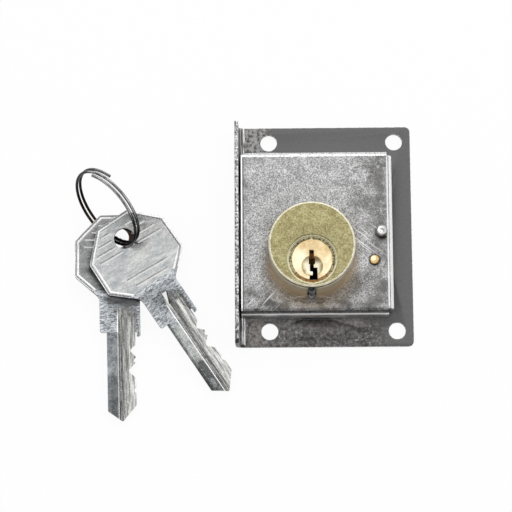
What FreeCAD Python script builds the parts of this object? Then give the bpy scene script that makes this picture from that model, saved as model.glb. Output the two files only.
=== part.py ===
import FreeCAD, Part

import math
import os
import re

# Sliding door cabinet lock with two keys on a split ring, in millimetres.
# The lock lies on its back. +Z runs from the back plate to the keyhole, +Y is up the door,
# and the hook bolt swings out past the flange, towards -X. The origin is the centre of the
# four screw holes, on the back face of the plate. The keys lie beside the flange.

Vector = FreeCAD.Vector
Rotation = FreeCAD.Rotation
Placement = FreeCAD.Placement

doc = FreeCAD.newDocument("sliding_door_lock")
sizes = doc.addObject("Spreadsheet::Sheet", "Sizes")
places = doc.addObject("Spreadsheet::Sheet", "Places")

# Driving dimensions. Places are measured from the origin unless the name says otherwise.
DRIVING = {
    # Back plate, whose left edge is folded up as the flange.
    "hole_spacing_x": "33.3",
    "hole_spacing_y": "50.8",
    "screw_hole": "4.4",
    "plate_left": "25.55",
    "plate_right": "20.95",
    "plate_height": "59",
    "plate_thick": "1",
    "plate_corner": "1.4",
    "plate_bend": "1.5",
    "flange_rise": "9",
    "bolt_slot_low": "-14.1",
    "bolt_slot_top": "11.2",
    "bolt_slot_back": "2.5",
    "bolt_slot_front": "4.9",
    "tip_hole": "8",
    "tip_hole_drop": "1.25",
    # Case cover, a folded sheet that is open towards the flange.
    "case_left": "23.9",
    "case_right": "15.55",
    "case_top": "21.2",
    "case_bottom": "21.95",
    "case_front": "8.8",
    "case_thick": "1",
    "case_bend": "0.8",
    "flap_relief": "1.3",
    "case_heel_wide": "1",
    "case_heel_high": "0.8",
    "tab_x": "-4.8",
    "tab_wide": "7",
    "tab_spare": "0.25",
    # Cylinder housing, the round barrel with the plug bore below its centre.
    "barrel_x": "-5.7",
    "barrel_y": "-6.25",
    "barrel_radius": "11",
    "barrel_length": "13",
    "barrel_chamfer": "0.35",
    "foot_step": "0.3",
    "foot_back": "4.9",
    "foot_spare": "0.05",
    "nut_wall": "1.6",
    "nut_thick": "1.6",
    "nut_notch": "2.2",
    "groove_wide": "2.4",
    "groove_front_wall": "1.4",
    "pin_stud_radius": "0.7",
    "pin_stud_ribs": "11",
    "rib_depth": "0.15",
    "cap_wide": "3.4",
    "cap_sink": "0.2",
    "cap_thick": "1",
    "cap_front_wall": "3.7",
    "slip_fit": "0.02",
    # Plug, its keyway and the clip on its tail.
    "plug_wall": "0.9",
    "plug_sink": "0.2",
    "head_radius": "6.1",
    "head_thick": "1.2",
    "face_radius": "5.1",
    "face_bevel": "0.8",
    "plug_radius": "5.65",
    "turn_gap": "0.05",
    "tail_radius": "5",
    "tail_flat": "4.2",
    "tail_back": "1.4",
    "clip_back": "2",
    "clip_thick": "0.6",
    "clip_radius": "6.2",
    "clip_groove": "4.45",
    "clip_mouth": "4",
    "dish_radius": "2.75",
    "dish_depth": "0.8",
    "dish_drop": "1.75",
    # Keyway section, as bands from the top down, with the left and right side of each.
    "slot_top": "2.4",
    "bulge_top": "0.5",
    "waist_top": "-1.1",
    "shelf_top": "-2",
    "neck_top": "-3",
    "base_top": "-4.05",
    "base_low": "-5.2",
    "slot_left": "-0.72",
    "slot_right": "0.45",
    "bulge_left": "-0.85",
    "bulge_right": "0.75",
    "waist_left": "-0.6",
    "waist_right": "0.4",
    "shelf_left": "-0.6",
    "shelf_right": "1.3",
    "neck_left": "0.1",
    "neck_right": "1.3",
    "base_left": "-0.7",
    "base_right": "1.35",
    # Pin stacks. Heights are above the plug's axis.
    "pin_first": "4.8",
    "pin_radius": "1",
    "pin_gap": "0.05",
    "pin_point": "0.5",
    "pin_floor": "-0.6",
    "key_pin_top": "5.45",
    "driver_low": "5.72",
    "driver_top": "8.9",
    "spring_radius": "0.9",
    "spring_wire": "0.3",
    # Depth of the five cuts in the key, from the shoulder to the tip.
    "cut_one": "1.3",
    "cut_two": "0.45",
    "cut_three": "1.75",
    "cut_four": "0.3",
    "cut_five": "0.5",
    # Hook bolt. Its outline is measured from the plug's axis.
    "hook_back": "2.8",
    "hook_thick": "1.8",
    "hub_half": "5.8",
    "hub_corner": "2.5",
    "arm_half": "3.5",
    "hook_reach": "27.5",
    "nose_reach": "7.5",
    "nose_length": "5",
    "hook_corner": "2",
    "nose_corner": "0.6",
    # Studs that hold the case to the plate.
    "stud_x": "10.7",
    "stud_y": "-8",
    "stud_head_radius": "1.2",
    "stud_head_high": "0.4",
    "rivet_x": "12.6",
    "rivet_y": "-0.6",
    "rivet_head_radius": "1.5",
    "rivet_head_high": "2",
    "rivet_dimple": "0.7",
    "shank_radius": "0.8",
    "spacer_radius": "1",
    # Detent spring, a wire bow from the stud round to the hub's flat side.
    "detent_wire": "0.8",
    "detent_gap": "0.05",
    "detent_top": "5",
    "detent_low": "-13",
    # Keys. Their outlines are measured from the hole, with the tip towards -Y.
    "bow_top": "5.95",
    "bow_top_half": "4.7",
    "bow_upper": "-0.8",
    "bow_upper_half": "11.45",
    "bow_lower": "-10.1",
    "bow_lower_half": "11.65",
    "bow_end": "-15.8",
    "bow_thick": "2.1",
    "bow_corner": "1.2",
    "bow_hole": "5.45",
    "rim_wide": "1",
    "rim_high": "0.25",
    "neck_half": "5.3",
    "neck_fillet": "2.5",
    "shoulder": "-25",
    "lip_wide": "1",
    "lip_long": "1.2",
    "blade_length": "23.3",
    "blade_centre": "1.6",
    "blade_shift": "0.25",
    "blade_spare": "0.1",
    "tip_across": "0.3",
    "tip_back_slope": "2.7",
    "tip_front_slope": "4.3",
    "cut_flat": "0.6",
    "groove_start": "-18.3",
    "slot_start": "-19.2",
    "run_out": "2",
    "groove_least": "0.5",
    # Where the keys and the ring lie on the table. A key's place is its hole.
    "front_key_x": "-54.46",
    "front_key_y": "-1.34",
    "front_key_z": "6.02",
    "front_key_heading": "34.14",
    "front_key_roll": "0.05",
    "rear_key_x": "-56.27",
    "rear_key_y": "-0.49",
    "rear_key_z": "3.13",
    "rear_key_heading": "1.31",
    "rear_key_roll": "3.15",
    "tip_height": "1.03",
    "ring_x": "-58.59",
    "ring_y": "6.03",
    "ring_z": "10.74",
    "ring_radius": "10.97",
    "ring_wire": "0.76",
    "ring_advance": "1.2",
    "ring_turns": "2.057",
    "ring_start": "198.6",
    "ring_lean": "66.65",
    "ring_heading": "223.44",
}

# Places and sizes that follow from the driving dimensions.
DERIVED = {
    "flange_out": "-plate_left",
    "flange_in": "-plate_left + plate_thick",
    "plate_flat": "-plate_left + plate_thick + plate_bend",
    "plate_rise": "plate_thick + plate_bend",
    "plate_half": "plate_height / 2",
    "hole_half_x": "hole_spacing_x / 2",
    "hole_half_y": "hole_spacing_y / 2",
    "case_edge": "-case_left",
    "case_inner": "case_front - case_thick",
    "case_round": "case_bend + case_thick",
    "case_rise": "case_front - case_bend - case_thick",
    "case_flat_right": "case_right - case_bend - case_thick",
    "case_flat_top": "case_top - case_bend - case_thick",
    "case_flat_bottom": "-case_bottom + case_bend + case_thick",
    "tab_left": "tab_x - tab_wide / 2",
    "tab_right": "tab_x + tab_wide / 2",
    "barrel_face": "case_front + barrel_length",
    "pin_spacing": "barrel_length / 5",
    "barrel_bottom": "barrel_y - barrel_radius",
    "foot_radius": "barrel_radius - foot_step",
    "nut_radius": "foot_radius + nut_wall",
    "plug_drop": "barrel_radius - head_radius - plug_wall",
    "cap_low": "plug_drop + foot_radius - cap_thick - cap_sink",
    "plug_y": "barrel_y - plug_drop",
    "plug_face": "case_front + barrel_length - plug_sink",
    "head_back": "case_front + barrel_length - plug_sink - head_thick",
    "bore_radius": "plug_radius + turn_gap",
    "counterbore": "head_radius + turn_gap",
    "counterbore_floor": "case_front + barrel_length - plug_sink - head_thick - turn_gap",
    "chamber_radius": "pin_radius + pin_gap",
    "dish_ball": "(dish_radius ^ 2 + dish_depth ^ 2) / (2 * dish_depth)",
    "pin_stud_y": "barrel_y - barrel_radius + 0.55 - pin_stud_radius",
    "groove_front": "case_front + barrel_length - groove_front_wall",
    "cap_front": "case_front + barrel_length - cap_front_wall",
    "hook_front": "hook_back + hook_thick",
    "detent_z": "hook_back + hook_thick / 2",
}

SHEET_OF = {alias: "Sizes" for alias in DRIVING}
SHEET_OF.update({alias: "Places" for alias in DERIVED})


def formula(text, home=""):
    """Put its sheet's name before each alias, except in that sheet's own cells."""
    def named(found):
        word = found.group()
        sheet = SHEET_OF.get(word, home)
        return word if sheet == home else sheet + "." + word
    return re.sub(r"[A-Za-z_]+", named, text)


for row, (alias, text) in enumerate(DRIVING.items(), start=1):
    sizes.set("A%d" % row, alias)
    sizes.set("B%d" % row, text)
    sizes.setAlias("B%d" % row, alias)
for row, (alias, text) in enumerate(DERIVED.items(), start=1):
    places.set("A%d" % row, alias)
    places.set("B%d" % row, "=" + formula(text, "Places"))
    places.setAlias("B%d" % row, alias)
doc.recompute()


class Values:
    """Reads a cell of either sheet by its alias, as a plain number."""

    def __getattr__(self, alias):
        sheet = doc.getObject(SHEET_OF[alias])
        return float(sheet.get(alias))


v = Values()


def bind(item, cell, text):
    """Tie a property of an object to the sheets."""
    item.setExpression(cell, formula(text))


def box(name, across, up, out):
    """A block between two places along each of X, Y and Z."""
    block = doc.addObject("Part::Box", name)
    for axis, side, (low, high) in zip("xyz", ("Length", "Width", "Height"), (across, up, out)):
        bind(block, "Placement.Base." + axis, low)
        bind(block, side, "(%s) - (%s)" % (high, low))
    return block


def rod(name, radius, x, y, out):
    """A round bar along Z, between two heights."""
    bar = doc.addObject("Part::Cylinder", name)
    bind(bar, "Radius", radius)
    bind(bar, "Height", "(%s) - (%s)" % (out[1], out[0]))
    bind(bar, "Placement.Base.x", x)
    bind(bar, "Placement.Base.y", y)
    bind(bar, "Placement.Base.z", out[0])
    return bar


def cone(name, radii, x, y, out):
    """A round taper along Z, between two heights."""
    taper = doc.addObject("Part::Cone", name)
    bind(taper, "Radius1", radii[0])
    bind(taper, "Radius2", radii[1])
    bind(taper, "Height", "(%s) - (%s)" % (out[1], out[0]))
    bind(taper, "Placement.Base.x", x)
    bind(taper, "Placement.Base.y", y)
    bind(taper, "Placement.Base.z", out[0])
    return taper


def turned(piece, x, y, z, axis, angle):
    """Turn a bar or taper about X or Y, with its lower end at the place."""
    piece.Placement = Placement(Vector(), Rotation(axis, angle))
    bind(piece, "Placement.Base.x", x)
    bind(piece, "Placement.Base.y", y)
    bind(piece, "Placement.Base.z", z)
    return piece


def bar_up(name, radius, x, z, up):
    """A round bar along +Y."""
    bar = rod(name, radius, x, up[0], (up[0], up[1]))
    return turned(bar, x, up[0], z, Vector(1, 0, 0), -90)


def bar_across(name, radius, y, z, across):
    """A round bar along +X."""
    bar = rod(name, radius, across[0], y, (across[0], across[1]))
    return turned(bar, across[0], y, z, Vector(0, 1, 0), 90)


def joined(name, *pieces):
    """One solid of several that meet."""
    whole = doc.addObject("Part::MultiFuse", name)
    whole.Shapes = list(pieces)
    whole.Refine = True
    return whole


def less(name, base, *tools):
    """What is left of a solid when the others are taken away."""
    tool = tools[0] if len(tools) == 1 else joined(name + "_cuts", *tools)
    rest = doc.addObject("Part::Cut", name)
    rest.Base = base
    rest.Tool = tool
    return rest


def shared(name, base, tool):
    """What two solids have in common."""
    both = doc.addObject("Part::Common", name)
    both.Base = base
    both.Tool = tool
    return both


def rounded_wire(corners, closed=True):
    """A wire of straight lines whose corners (x, y, radius) are rounded by arcs."""
    points = [Vector(x, y, 0) for x, y, _ in corners]
    count = len(points)
    ends = []
    for index, (_, _, radius) in enumerate(corners):
        here = points[index]
        if radius == 0 or (not closed and index in (0, count - 1)):
            ends.append((here, None, here))
            continue
        to_last = (points[index - 1] - here).normalize()
        to_next = (points[(index + 1) % count] - here).normalize()
        half = to_last.getAngle(to_next) / 2
        middle = (to_last + to_next).normalize()
        reach = radius / math.tan(half)
        top = here + middle * (radius / math.sin(half) - radius)
        ends.append((here + to_last * reach, top, here + to_next * reach))
    edges = []
    for index, (first, top, last) in enumerate(ends):
        if top is not None:
            edges.append(Part.Arc(first, top, last).toShape())
        following = ends[(index + 1) % count][0]
        if (closed or index < count - 1) and last.distanceToPoint(following) > 1e-6:
            edges.append(Part.LineSegment(last, following).toShape())
    return Part.Wire(edges)


def plate(name, corners, out):
    """A flat piece with a rounded outline, between two heights."""
    outline = doc.addObject("Part::Feature", name + "_outline")
    outline.Shape = Part.Face(rounded_wire(corners))
    solid = doc.addObject("Part::Extrusion", name)
    solid.Base = outline
    solid.DirMode = "Custom"
    solid.Dir = Vector(0, 0, 1)
    solid.Solid = True
    bind(solid, "LengthFwd", "(%s) - (%s)" % (out[1], out[0]))
    bind(solid, "Placement.Base.z", out[0])
    return solid


nodes = []


def node(piece, label):
    """Note a finished sub-part under the name of its file."""
    piece.Label = label
    nodes.append(piece)
    return piece


def fold(name, block, outer, inner):
    """The quarter round of a folded sheet."""
    return less(name, shared(name + "_round", block, outer), inner)


def back_plate():
    """The mounting plate with its flange, screw holes and slots."""
    half = v.plate_half
    flat = plate("plate_flat_part", [
        (v.plate_flat, -half, 0),
        (v.plate_right, -half, v.plate_corner),
        (v.plate_right, half, v.plate_corner),
        (v.plate_flat, half, 0),
    ], ("0", "plate_thick"))
    full = ("-plate_half", "plate_half")
    flange = box("flange", ("flange_out", "flange_in"), full, ("plate_rise", "flange_rise"))
    bend = fold(
        "flange_bend",
        box("flange_bend_block", ("flange_out", "plate_flat"), full, ("0", "plate_rise")),
        bar_up("flange_bend_outer", "plate_rise", "plate_flat", "plate_rise", full),
        bar_up("flange_bend_inner", "plate_bend", "plate_flat", "plate_rise", full))
    through = ("-1", "plate_thick + 1")
    holes = [rod("tip_hole_cut", "tip_hole / 2", "barrel_x", "plug_y - tip_hole_drop", through)]
    for side, x in (("left", "-hole_half_x"), ("right", "hole_half_x")):
        for end, y in (("low", "-hole_half_y"), ("top", "hole_half_y")):
            holes.append(rod("screw_%s_%s" % (side, end), "screw_hole / 2", x, y, through))
    for name in ("stud", "rivet"):
        holes.append(rod(name + "_plate_hole", "shank_radius + slip_fit", name + "_x", name + "_y",
                         through))
    holes.append(box("tab_slot", ("tab_left - tab_spare", "tab_right + tab_spare"),
                     ("-case_bottom - tab_spare", "-case_bottom + case_thick + tab_spare"), through))
    holes.append(box("bolt_slot", ("flange_out - 1", "flange_in + 1"),
                     ("bolt_slot_low", "bolt_slot_top"), ("bolt_slot_back", "bolt_slot_front")))
    whole = joined("plate_and_flange", flat, flange, bend)
    node(less("back_plate_part", whole, *holes), "back_plate")


def case_cover():
    """The folded case: a front sheet with three flaps, and a tab through the plate."""
    front = box("case_front_sheet", ("case_edge", "case_flat_right"),
                ("case_flat_bottom", "case_flat_top"), ("case_inner", "case_front"))
    sheet = ("plate_thick", "case_rise")
    curl = ("case_rise", "case_front")
    tall = ("-case_bottom + flap_relief", "case_top - flap_relief")
    wide = ("case_edge", "case_right - flap_relief")
    pieces = [front]
    pieces.append(box("case_right_flap", ("case_right - case_thick", "case_right"), tall, sheet))
    pieces.append(fold(
        "case_right_bend",
        box("case_right_block", ("case_flat_right", "case_right"), tall, curl),
        bar_up("case_right_outer", "case_round", "case_flat_right", "case_rise", tall),
        bar_up("case_right_inner", "case_bend", "case_flat_right", "case_rise", tall)))
    for side, edge, flat, inside in (("top", "case_top", "case_flat_top", "case_top - case_thick"),
                                     ("bottom", "-case_bottom", "case_flat_bottom",
                                      "-case_bottom + case_thick")):
        flap = (inside, edge) if side == "top" else (edge, inside)
        corner = (flat, edge) if side == "top" else (edge, flat)
        pieces.append(box("case_%s_flap" % side, wide, flap, sheet))
        pieces.append(fold(
            "case_%s_bend" % side,
            box("case_%s_block" % side, wide, corner, curl),
            bar_across("case_%s_outer" % side, "case_round", flat, "case_rise", wide),
            bar_across("case_%s_inner" % side, "case_bend", flat, "case_rise", wide)))
    pieces.append(box("case_tab", ("tab_left", "tab_right"),
                      ("-case_bottom", "-case_bottom + case_thick"), ("0", "plate_thick + 1")))
    through = ("case_inner - 1", "case_front + 1")
    cuts = [rod("case_barrel_hole", "foot_radius + foot_spare", "barrel_x", "barrel_y", through)]
    for name in ("stud", "rivet"):
        cuts.append(rod(name + "_case_hole", "shank_radius + slip_fit", name + "_x", name + "_y",
                        through))
    cuts.append(rod("pin_stud_hole", "pin_stud_radius + slip_fit", "barrel_x", "pin_stud_y", through))
    cuts.append(box("case_heel", ("case_edge - 1", "case_edge + case_heel_wide"),
                    ("-case_bottom - 1", "case_top + 1"), ("0", "plate_thick + case_heel_high")))
    node(less("case_cover_part", joined("case_sheet", *pieces), *cuts), "case_cover")


def pin_depth(index):
    """How far behind the plug's face a pin stack stands."""
    return "(pin_first + %d * pin_spacing)" % index


CUTS = ("cut_one", "cut_two", "cut_three", "cut_four", "cut_five")


def cylinder_housing():
    """The barrel and its foot, with the plug bore, pin chambers and two grooves."""
    body = joined(
        "housing_body",
        rod("barrel", "barrel_radius", "barrel_x", "barrel_y",
            ("case_front", "barrel_face - barrel_chamfer")),
        cone("barrel_bevel", ("barrel_radius", "barrel_radius - barrel_chamfer"), "barrel_x",
             "barrel_y", ("barrel_face - barrel_chamfer", "barrel_face")),
        rod("barrel_foot", "foot_radius", "barrel_x", "barrel_y", ("foot_back", "case_front")))
    cuts = [
        rod("plug_bore", "bore_radius", "barrel_x", "plug_y", ("foot_back - 1", "barrel_face + 1")),
        rod("plug_counterbore", "counterbore", "barrel_x", "plug_y",
            ("counterbore_floor", "barrel_face + 1")),
        box("pin_stud_groove", ("barrel_x - groove_wide / 2", "barrel_x + groove_wide / 2"),
            ("barrel_bottom - 1", "pin_stud_y + pin_stud_radius"), ("case_inner", "groove_front")),
        box("cap_groove",
            ("barrel_x - cap_wide / 2 - slip_fit", "barrel_x + cap_wide / 2 + slip_fit"),
            ("plug_y + cap_low", "barrel_y + barrel_radius + 1"), ("foot_back - 1", "cap_front")),
    ]
    for index in range(len(CUTS)):
        cuts.append(bar_up("chamber_%d" % (index + 1), "chamber_radius", "barrel_x",
                           "plug_face - " + pin_depth(index),
                           ("plug_y", "barrel_y + barrel_radius + 1")))
    node(less("cylinder_housing_part", body, *cuts), "cylinder_housing")


def housing_nut():
    """The ring nut behind the case, with two notches for a spanner."""
    out = ("case_inner - nut_thick", "case_inner")
    ring = rod("nut_ring", "nut_radius", "barrel_x", "barrel_y", out)
    hole = rod("nut_hole", "foot_radius + slip_fit", "barrel_x", "barrel_y",
               (out[0] + " - 1", out[1] + " + 1"))
    notch = box("nut_notch_cut", ("barrel_x - nut_radius - 1", "barrel_x + nut_radius + 1"),
                ("barrel_y - nut_notch / 2", "barrel_y + nut_notch / 2"),
                (out[0] + " - 1", out[0] + " + nut_thick / 2"))
    node(less("housing_nut_part", ring, hole, notch), "housing_nut")


def chamber_cap():
    """The strip that closes the pin chambers."""
    strip = box("chamber_cap_part", ("barrel_x - cap_wide / 2", "barrel_x + cap_wide / 2"),
                ("plug_y + cap_low", "plug_y + cap_low + cap_thick"), ("foot_back", "cap_front"))
    node(strip, "chamber_cap")


def barrel_lock_pin():
    """The ribbed stud that keys the barrel to the case."""
    core = rod("pin_stud_core", "pin_stud_radius - rib_depth", "barrel_x", "pin_stud_y",
               ("case_inner", "groove_front"))
    count = int(v.pin_stud_ribs)
    pitch = "(groove_front - case_inner) / pin_stud_ribs"
    ribs = []
    for index in range(count):
        low = "case_inner + %d * %s" % (index, pitch)
        ribs.append(rod("pin_stud_rib_%d" % (index + 1), "pin_stud_radius", "barrel_x",
                        "pin_stud_y", (low, low + " + %s / 2" % pitch)))
    node(joined("barrel_lock_pin_part", core, *ribs), "barrel_lock_pin")


BANDS = ("slot", "bulge", "waist", "shelf", "neck", "base")


def band_tops():
    """The upper and lower alias of each band of the keyway."""
    lows = ["%s_top" % name for name in BANDS[1:]] + ["base_low"]
    return list(zip(BANDS, lows))


def plug():
    """The turning core, with its dish, keyway, pin holes and clip groove."""
    tail = shared(
        "plug_tail",
        rod("tail_round", "tail_radius", "barrel_x", "plug_y", ("tail_back", "foot_back")),
        box("tail_flats", ("barrel_x - tail_flat", "barrel_x + tail_flat"),
            ("plug_y - tail_radius - 1", "plug_y + tail_radius + 1"), ("tail_back", "foot_back")))
    body = joined(
        "plug_body", tail,
        rod("plug_core", "plug_radius", "barrel_x", "plug_y", ("foot_back", "head_back")),
        rod("plug_head", "head_radius", "barrel_x", "plug_y", ("head_back", "plug_face - face_bevel")),
        cone("plug_bevel", ("head_radius", "face_radius"), "barrel_x", "plug_y",
             ("plug_face - face_bevel", "plug_face")))
    ball = doc.addObject("Part::Sphere", "plug_dish")
    bind(ball, "Radius", "dish_ball")
    bind(ball, "Placement.Base.x", "barrel_x")
    bind(ball, "Placement.Base.y", "plug_y - dish_drop")
    bind(ball, "Placement.Base.z", "plug_face - dish_depth + dish_ball")
    cuts = [ball]
    for name, low in band_tops():
        cuts.append(box("keyway_" + name, ("barrel_x + %s_left" % name, "barrel_x + %s_right" % name),
                        ("plug_y + " + low, "plug_y + %s_top" % name),
                        ("tail_back - 1", "plug_face + 1")))
    for index in range(len(CUTS)):
        cuts.append(bar_up("plug_pin_hole_%d" % (index + 1), "chamber_radius", "barrel_x",
                           "plug_face - " + pin_depth(index),
                           ("plug_y + pin_floor", "plug_y + head_radius + 1")))
    groove = ("clip_back - turn_gap", "clip_back + clip_thick + turn_gap")
    cuts.append(less(
        "clip_groove_ring",
        rod("clip_groove_outer", "tail_radius + 1", "barrel_x", "plug_y", groove),
        rod("clip_groove_inner", "clip_groove", "barrel_x", "plug_y", groove)))
    node(less("plug_part", body, *cuts), "plug")


def plug_clip():
    """The open clip in the groove of the tail."""
    out = ("clip_back", "clip_back + clip_thick")
    ring = rod("clip_ring", "clip_radius", "barrel_x", "plug_y", out)
    hole = rod("clip_hole", "clip_groove + turn_gap", "barrel_x", "plug_y",
               (out[0] + " - 1", out[1] + " + 1"))
    mouth = box("clip_mouth_cut", ("barrel_x - clip_mouth / 2", "barrel_x + clip_mouth / 2"),
                ("plug_y - clip_radius - 1", "plug_y"), (out[0] + " - 1", out[1] + " + 1"))
    node(less("plug_clip_part", ring, hole, mouth), "plug_clip")


def hook_bolt():
    """The flat hook on the tail: hub, arm and nose."""
    x, y = v.barrel_x, v.plug_y
    hub, arm = v.hub_half, v.arm_half
    top = v.hook_reach
    corner, small = v.hook_corner, v.nose_corner
    nose_low = top - v.nose_length
    waist = hub + corner
    flat = [
        (-hub, -hub, v.hub_corner),
        (hub, -hub, v.hub_corner),
        (hub, hub - corner, corner),
        (arm, waist + corner, corner),
        (arm, top, corner),
        (-arm - corner / 2, top, corner),
        (-v.nose_reach, nose_low + v.nose_length * 0.6, small),
        (-v.nose_reach, nose_low, small),
        (-arm, nose_low, small),
        (-arm, waist + corner, corner),
        (-hub, hub - corner, corner),
    ]
    solid = plate("hook_flat", [(x + a, y + b, r) for a, b, r in flat], ("hook_back", "hook_front"))
    through = ("hook_back - 1", "hook_front + 1")
    hole = shared(
        "hook_hole",
        rod("hook_hole_round", "tail_radius + turn_gap", "barrel_x", "plug_y", through),
        box("hook_hole_flats",
            ("barrel_x - tail_flat - turn_gap", "barrel_x + tail_flat + turn_gap"),
            ("plug_y - tail_radius - 1", "plug_y + tail_radius + 1"), through))
    node(less("hook_bolt_part", solid, hole), "hook_bolt")


def pin_stacks():
    """Five key pins, driver pins and springs."""
    for index, cut in enumerate(CUTS):
        number = index + 1
        z = "plug_face - " + pin_depth(index)
        low = "plug_y + slot_top - blade_spare - " + cut
        point = cone("key_pin_point_%d" % number, ("pin_radius / 2", "pin_radius"), "barrel_x", low,
                     ("0", "pin_point"))
        turned(point, "barrel_x", low, z, Vector(1, 0, 0), -90)
        shaft = bar_up("key_pin_shaft_%d" % number, "pin_radius", "barrel_x", z,
                       (low + " + pin_point", "plug_y + key_pin_top"))
        node(joined("key_pin_part_%d" % number, point, shaft), "key_pin_%d" % number)
        driver = bar_up("driver_pin_part_%d" % number, "pin_radius", "barrel_x", z,
                        ("plug_y + driver_low", "plug_y + driver_top"))
        node(driver, "driver_pin_%d" % number)
        room = ("plug_y + driver_top", "plug_y + cap_low")
        wound = less(
            "pin_spring_part_%d" % number,
            bar_up("pin_spring_outer_%d" % number, "spring_radius", "barrel_x", z, room),
            bar_up("pin_spring_inner_%d" % number, "spring_radius - spring_wire", "barrel_x", z,
                   room))
        node(wound, "pin_spring_%d" % number)


def stud(name, label, head_pieces):
    """A shouldered stud, riveted through the plate and the case."""
    x, y = name + "_x", name + "_y"
    shank = rod(name + "_shank", "shank_radius", x, y, ("0", "case_front"))
    spacer = rod(name + "_spacer", "spacer_radius", x, y, ("plate_thick", "case_inner"))
    node(joined(name + "_part", shank, spacer, *head_pieces), label)


def studs():
    """The brass stud with a flat head and the steel rivet with a dimple."""
    head = rod("stud_head", "stud_head_radius", "stud_x", "stud_y",
               ("case_front", "case_front + stud_head_high"))
    stud("stud", "brass_stud", [head])
    top = "case_front + rivet_head_high"
    bevel = "rivet_head_radius / 4"
    round_head = joined(
        "rivet_head",
        rod("rivet_head_low", "rivet_head_radius", "rivet_x", "rivet_y",
            ("case_front", top + " - " + bevel)),
        cone("rivet_head_bevel", ("rivet_head_radius", "rivet_head_radius - " + bevel), "rivet_x",
             "rivet_y", (top + " - " + bevel, top)))
    dimple = cone("rivet_dimple_cut", ("rivet_dimple / 4", "rivet_dimple"), "rivet_x", "rivet_y",
                  (top + " - rivet_dimple / 2", top + " + 0.01"))
    stud("rivet", "case_rivet", [less("rivet_head_dimpled", round_head, dimple)])


def swept(name, path, radius):
    """A round wire along a path that starts at its first vertex."""
    start = path.Vertexes[0].Point
    along = path.Edges[0].tangentAt(path.Edges[0].FirstParameter)
    ring = Part.Wire([Part.makeCircle(radius, start, along)])
    wire = doc.addObject("Part::Feature", name)
    wire.Shape = path.makePipeShell([ring], True, False)
    return wire


def detent_spring():
    """The wire bow that holds the hook open or shut by pressing on the hub's flat."""
    half = v.detent_wire / 2
    loop = v.spacer_radius + v.detent_gap + half
    right = v.stud_x + loop
    left = v.stud_x - loop
    past_rivet = v.rivet_x - loop
    on_hub = v.barrel_x + v.hub_half + v.detent_gap + half
    bow = (past_rivet - on_hub) * 0.48
    path = rounded_wire([
        (right, v.stud_y + loop, 0),
        (right, v.stud_y - loop, loop * 0.98),
        (left, v.stud_y - loop, loop * 0.98),
        (left, v.rivet_y - 4 * loop, loop),
        (past_rivet, v.rivet_y - loop, loop),
        (past_rivet, v.detent_top, bow),
        (on_hub, v.detent_top, bow),
        (on_hub, v.detent_low, 0),
    ], closed=False)
    wire = swept("detent_spring_part", path, half)
    wire.Placement = Placement(Vector(0, 0, v.detent_z), Rotation())
    node(wire, "detent_spring")


def bow_outline(inset):
    """The bow's eight sides, drawn in by an inset."""
    slope = inset * 0.42
    return [
        (v.bow_top_half - slope, v.bow_top - inset),
        (v.bow_upper_half - inset, v.bow_upper - slope),
        (v.bow_lower_half - inset, v.bow_lower + slope),
        (v.neck_half - slope, v.bow_end + inset),
    ]


def mirrored(right_side):
    """Both halves of an outline that is given from the top down its right side."""
    return right_side + [(-x, y, r) for x, y, r in reversed(right_side)]


def neck_grooves(name):
    """Where the blade's deep grooves run out in the neck, each with a sloping end."""
    grooves = []
    for band, low in band_tops():
        start = v.slot_start if band == "slot" else v.groove_start
        for face, edge, sign in (("front", "right", 1), ("back", "left", -1)):
            floor = getattr(v, "%s_%s" % (band, edge)) - v.blade_shift - sign * v.blade_spare
            face_z = sign * v.bow_thick / 2
            outer = face_z * 2
            if v.bow_thick / 2 - sign * floor < v.groove_least:
                continue
            slope = v.run_out * abs(face_z - floor)
            lead = v.run_out * abs(outer - face_z)
            section = doc.addObject("Part::Feature", "%s_%s_%s_section" % (name, band, face))
            section.Shape = Part.Face(Part.makePolygon([
                Vector(0, start + lead, outer),
                Vector(0, start - slope, floor),
                Vector(0, v.shoulder - 3, floor),
                Vector(0, v.shoulder - 3, outer),
                Vector(0, start + lead, outer),
            ]))
            cut = doc.addObject("Part::Extrusion", "%s_%s_%s_groove" % (name, band, face))
            cut.Base = section
            cut.DirMode = "Custom"
            cut.Dir = Vector(1, 0, 0)
            cut.Solid = True
            bottom = low + " + blade_centre - blade_spare"
            bind(cut, "LengthFwd", "%s_top + blade_centre + blade_spare - (%s)" % (band, bottom))
            bind(cut, "Placement.Base.x", bottom)
            grooves.append(cut)
    return grooves


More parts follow.
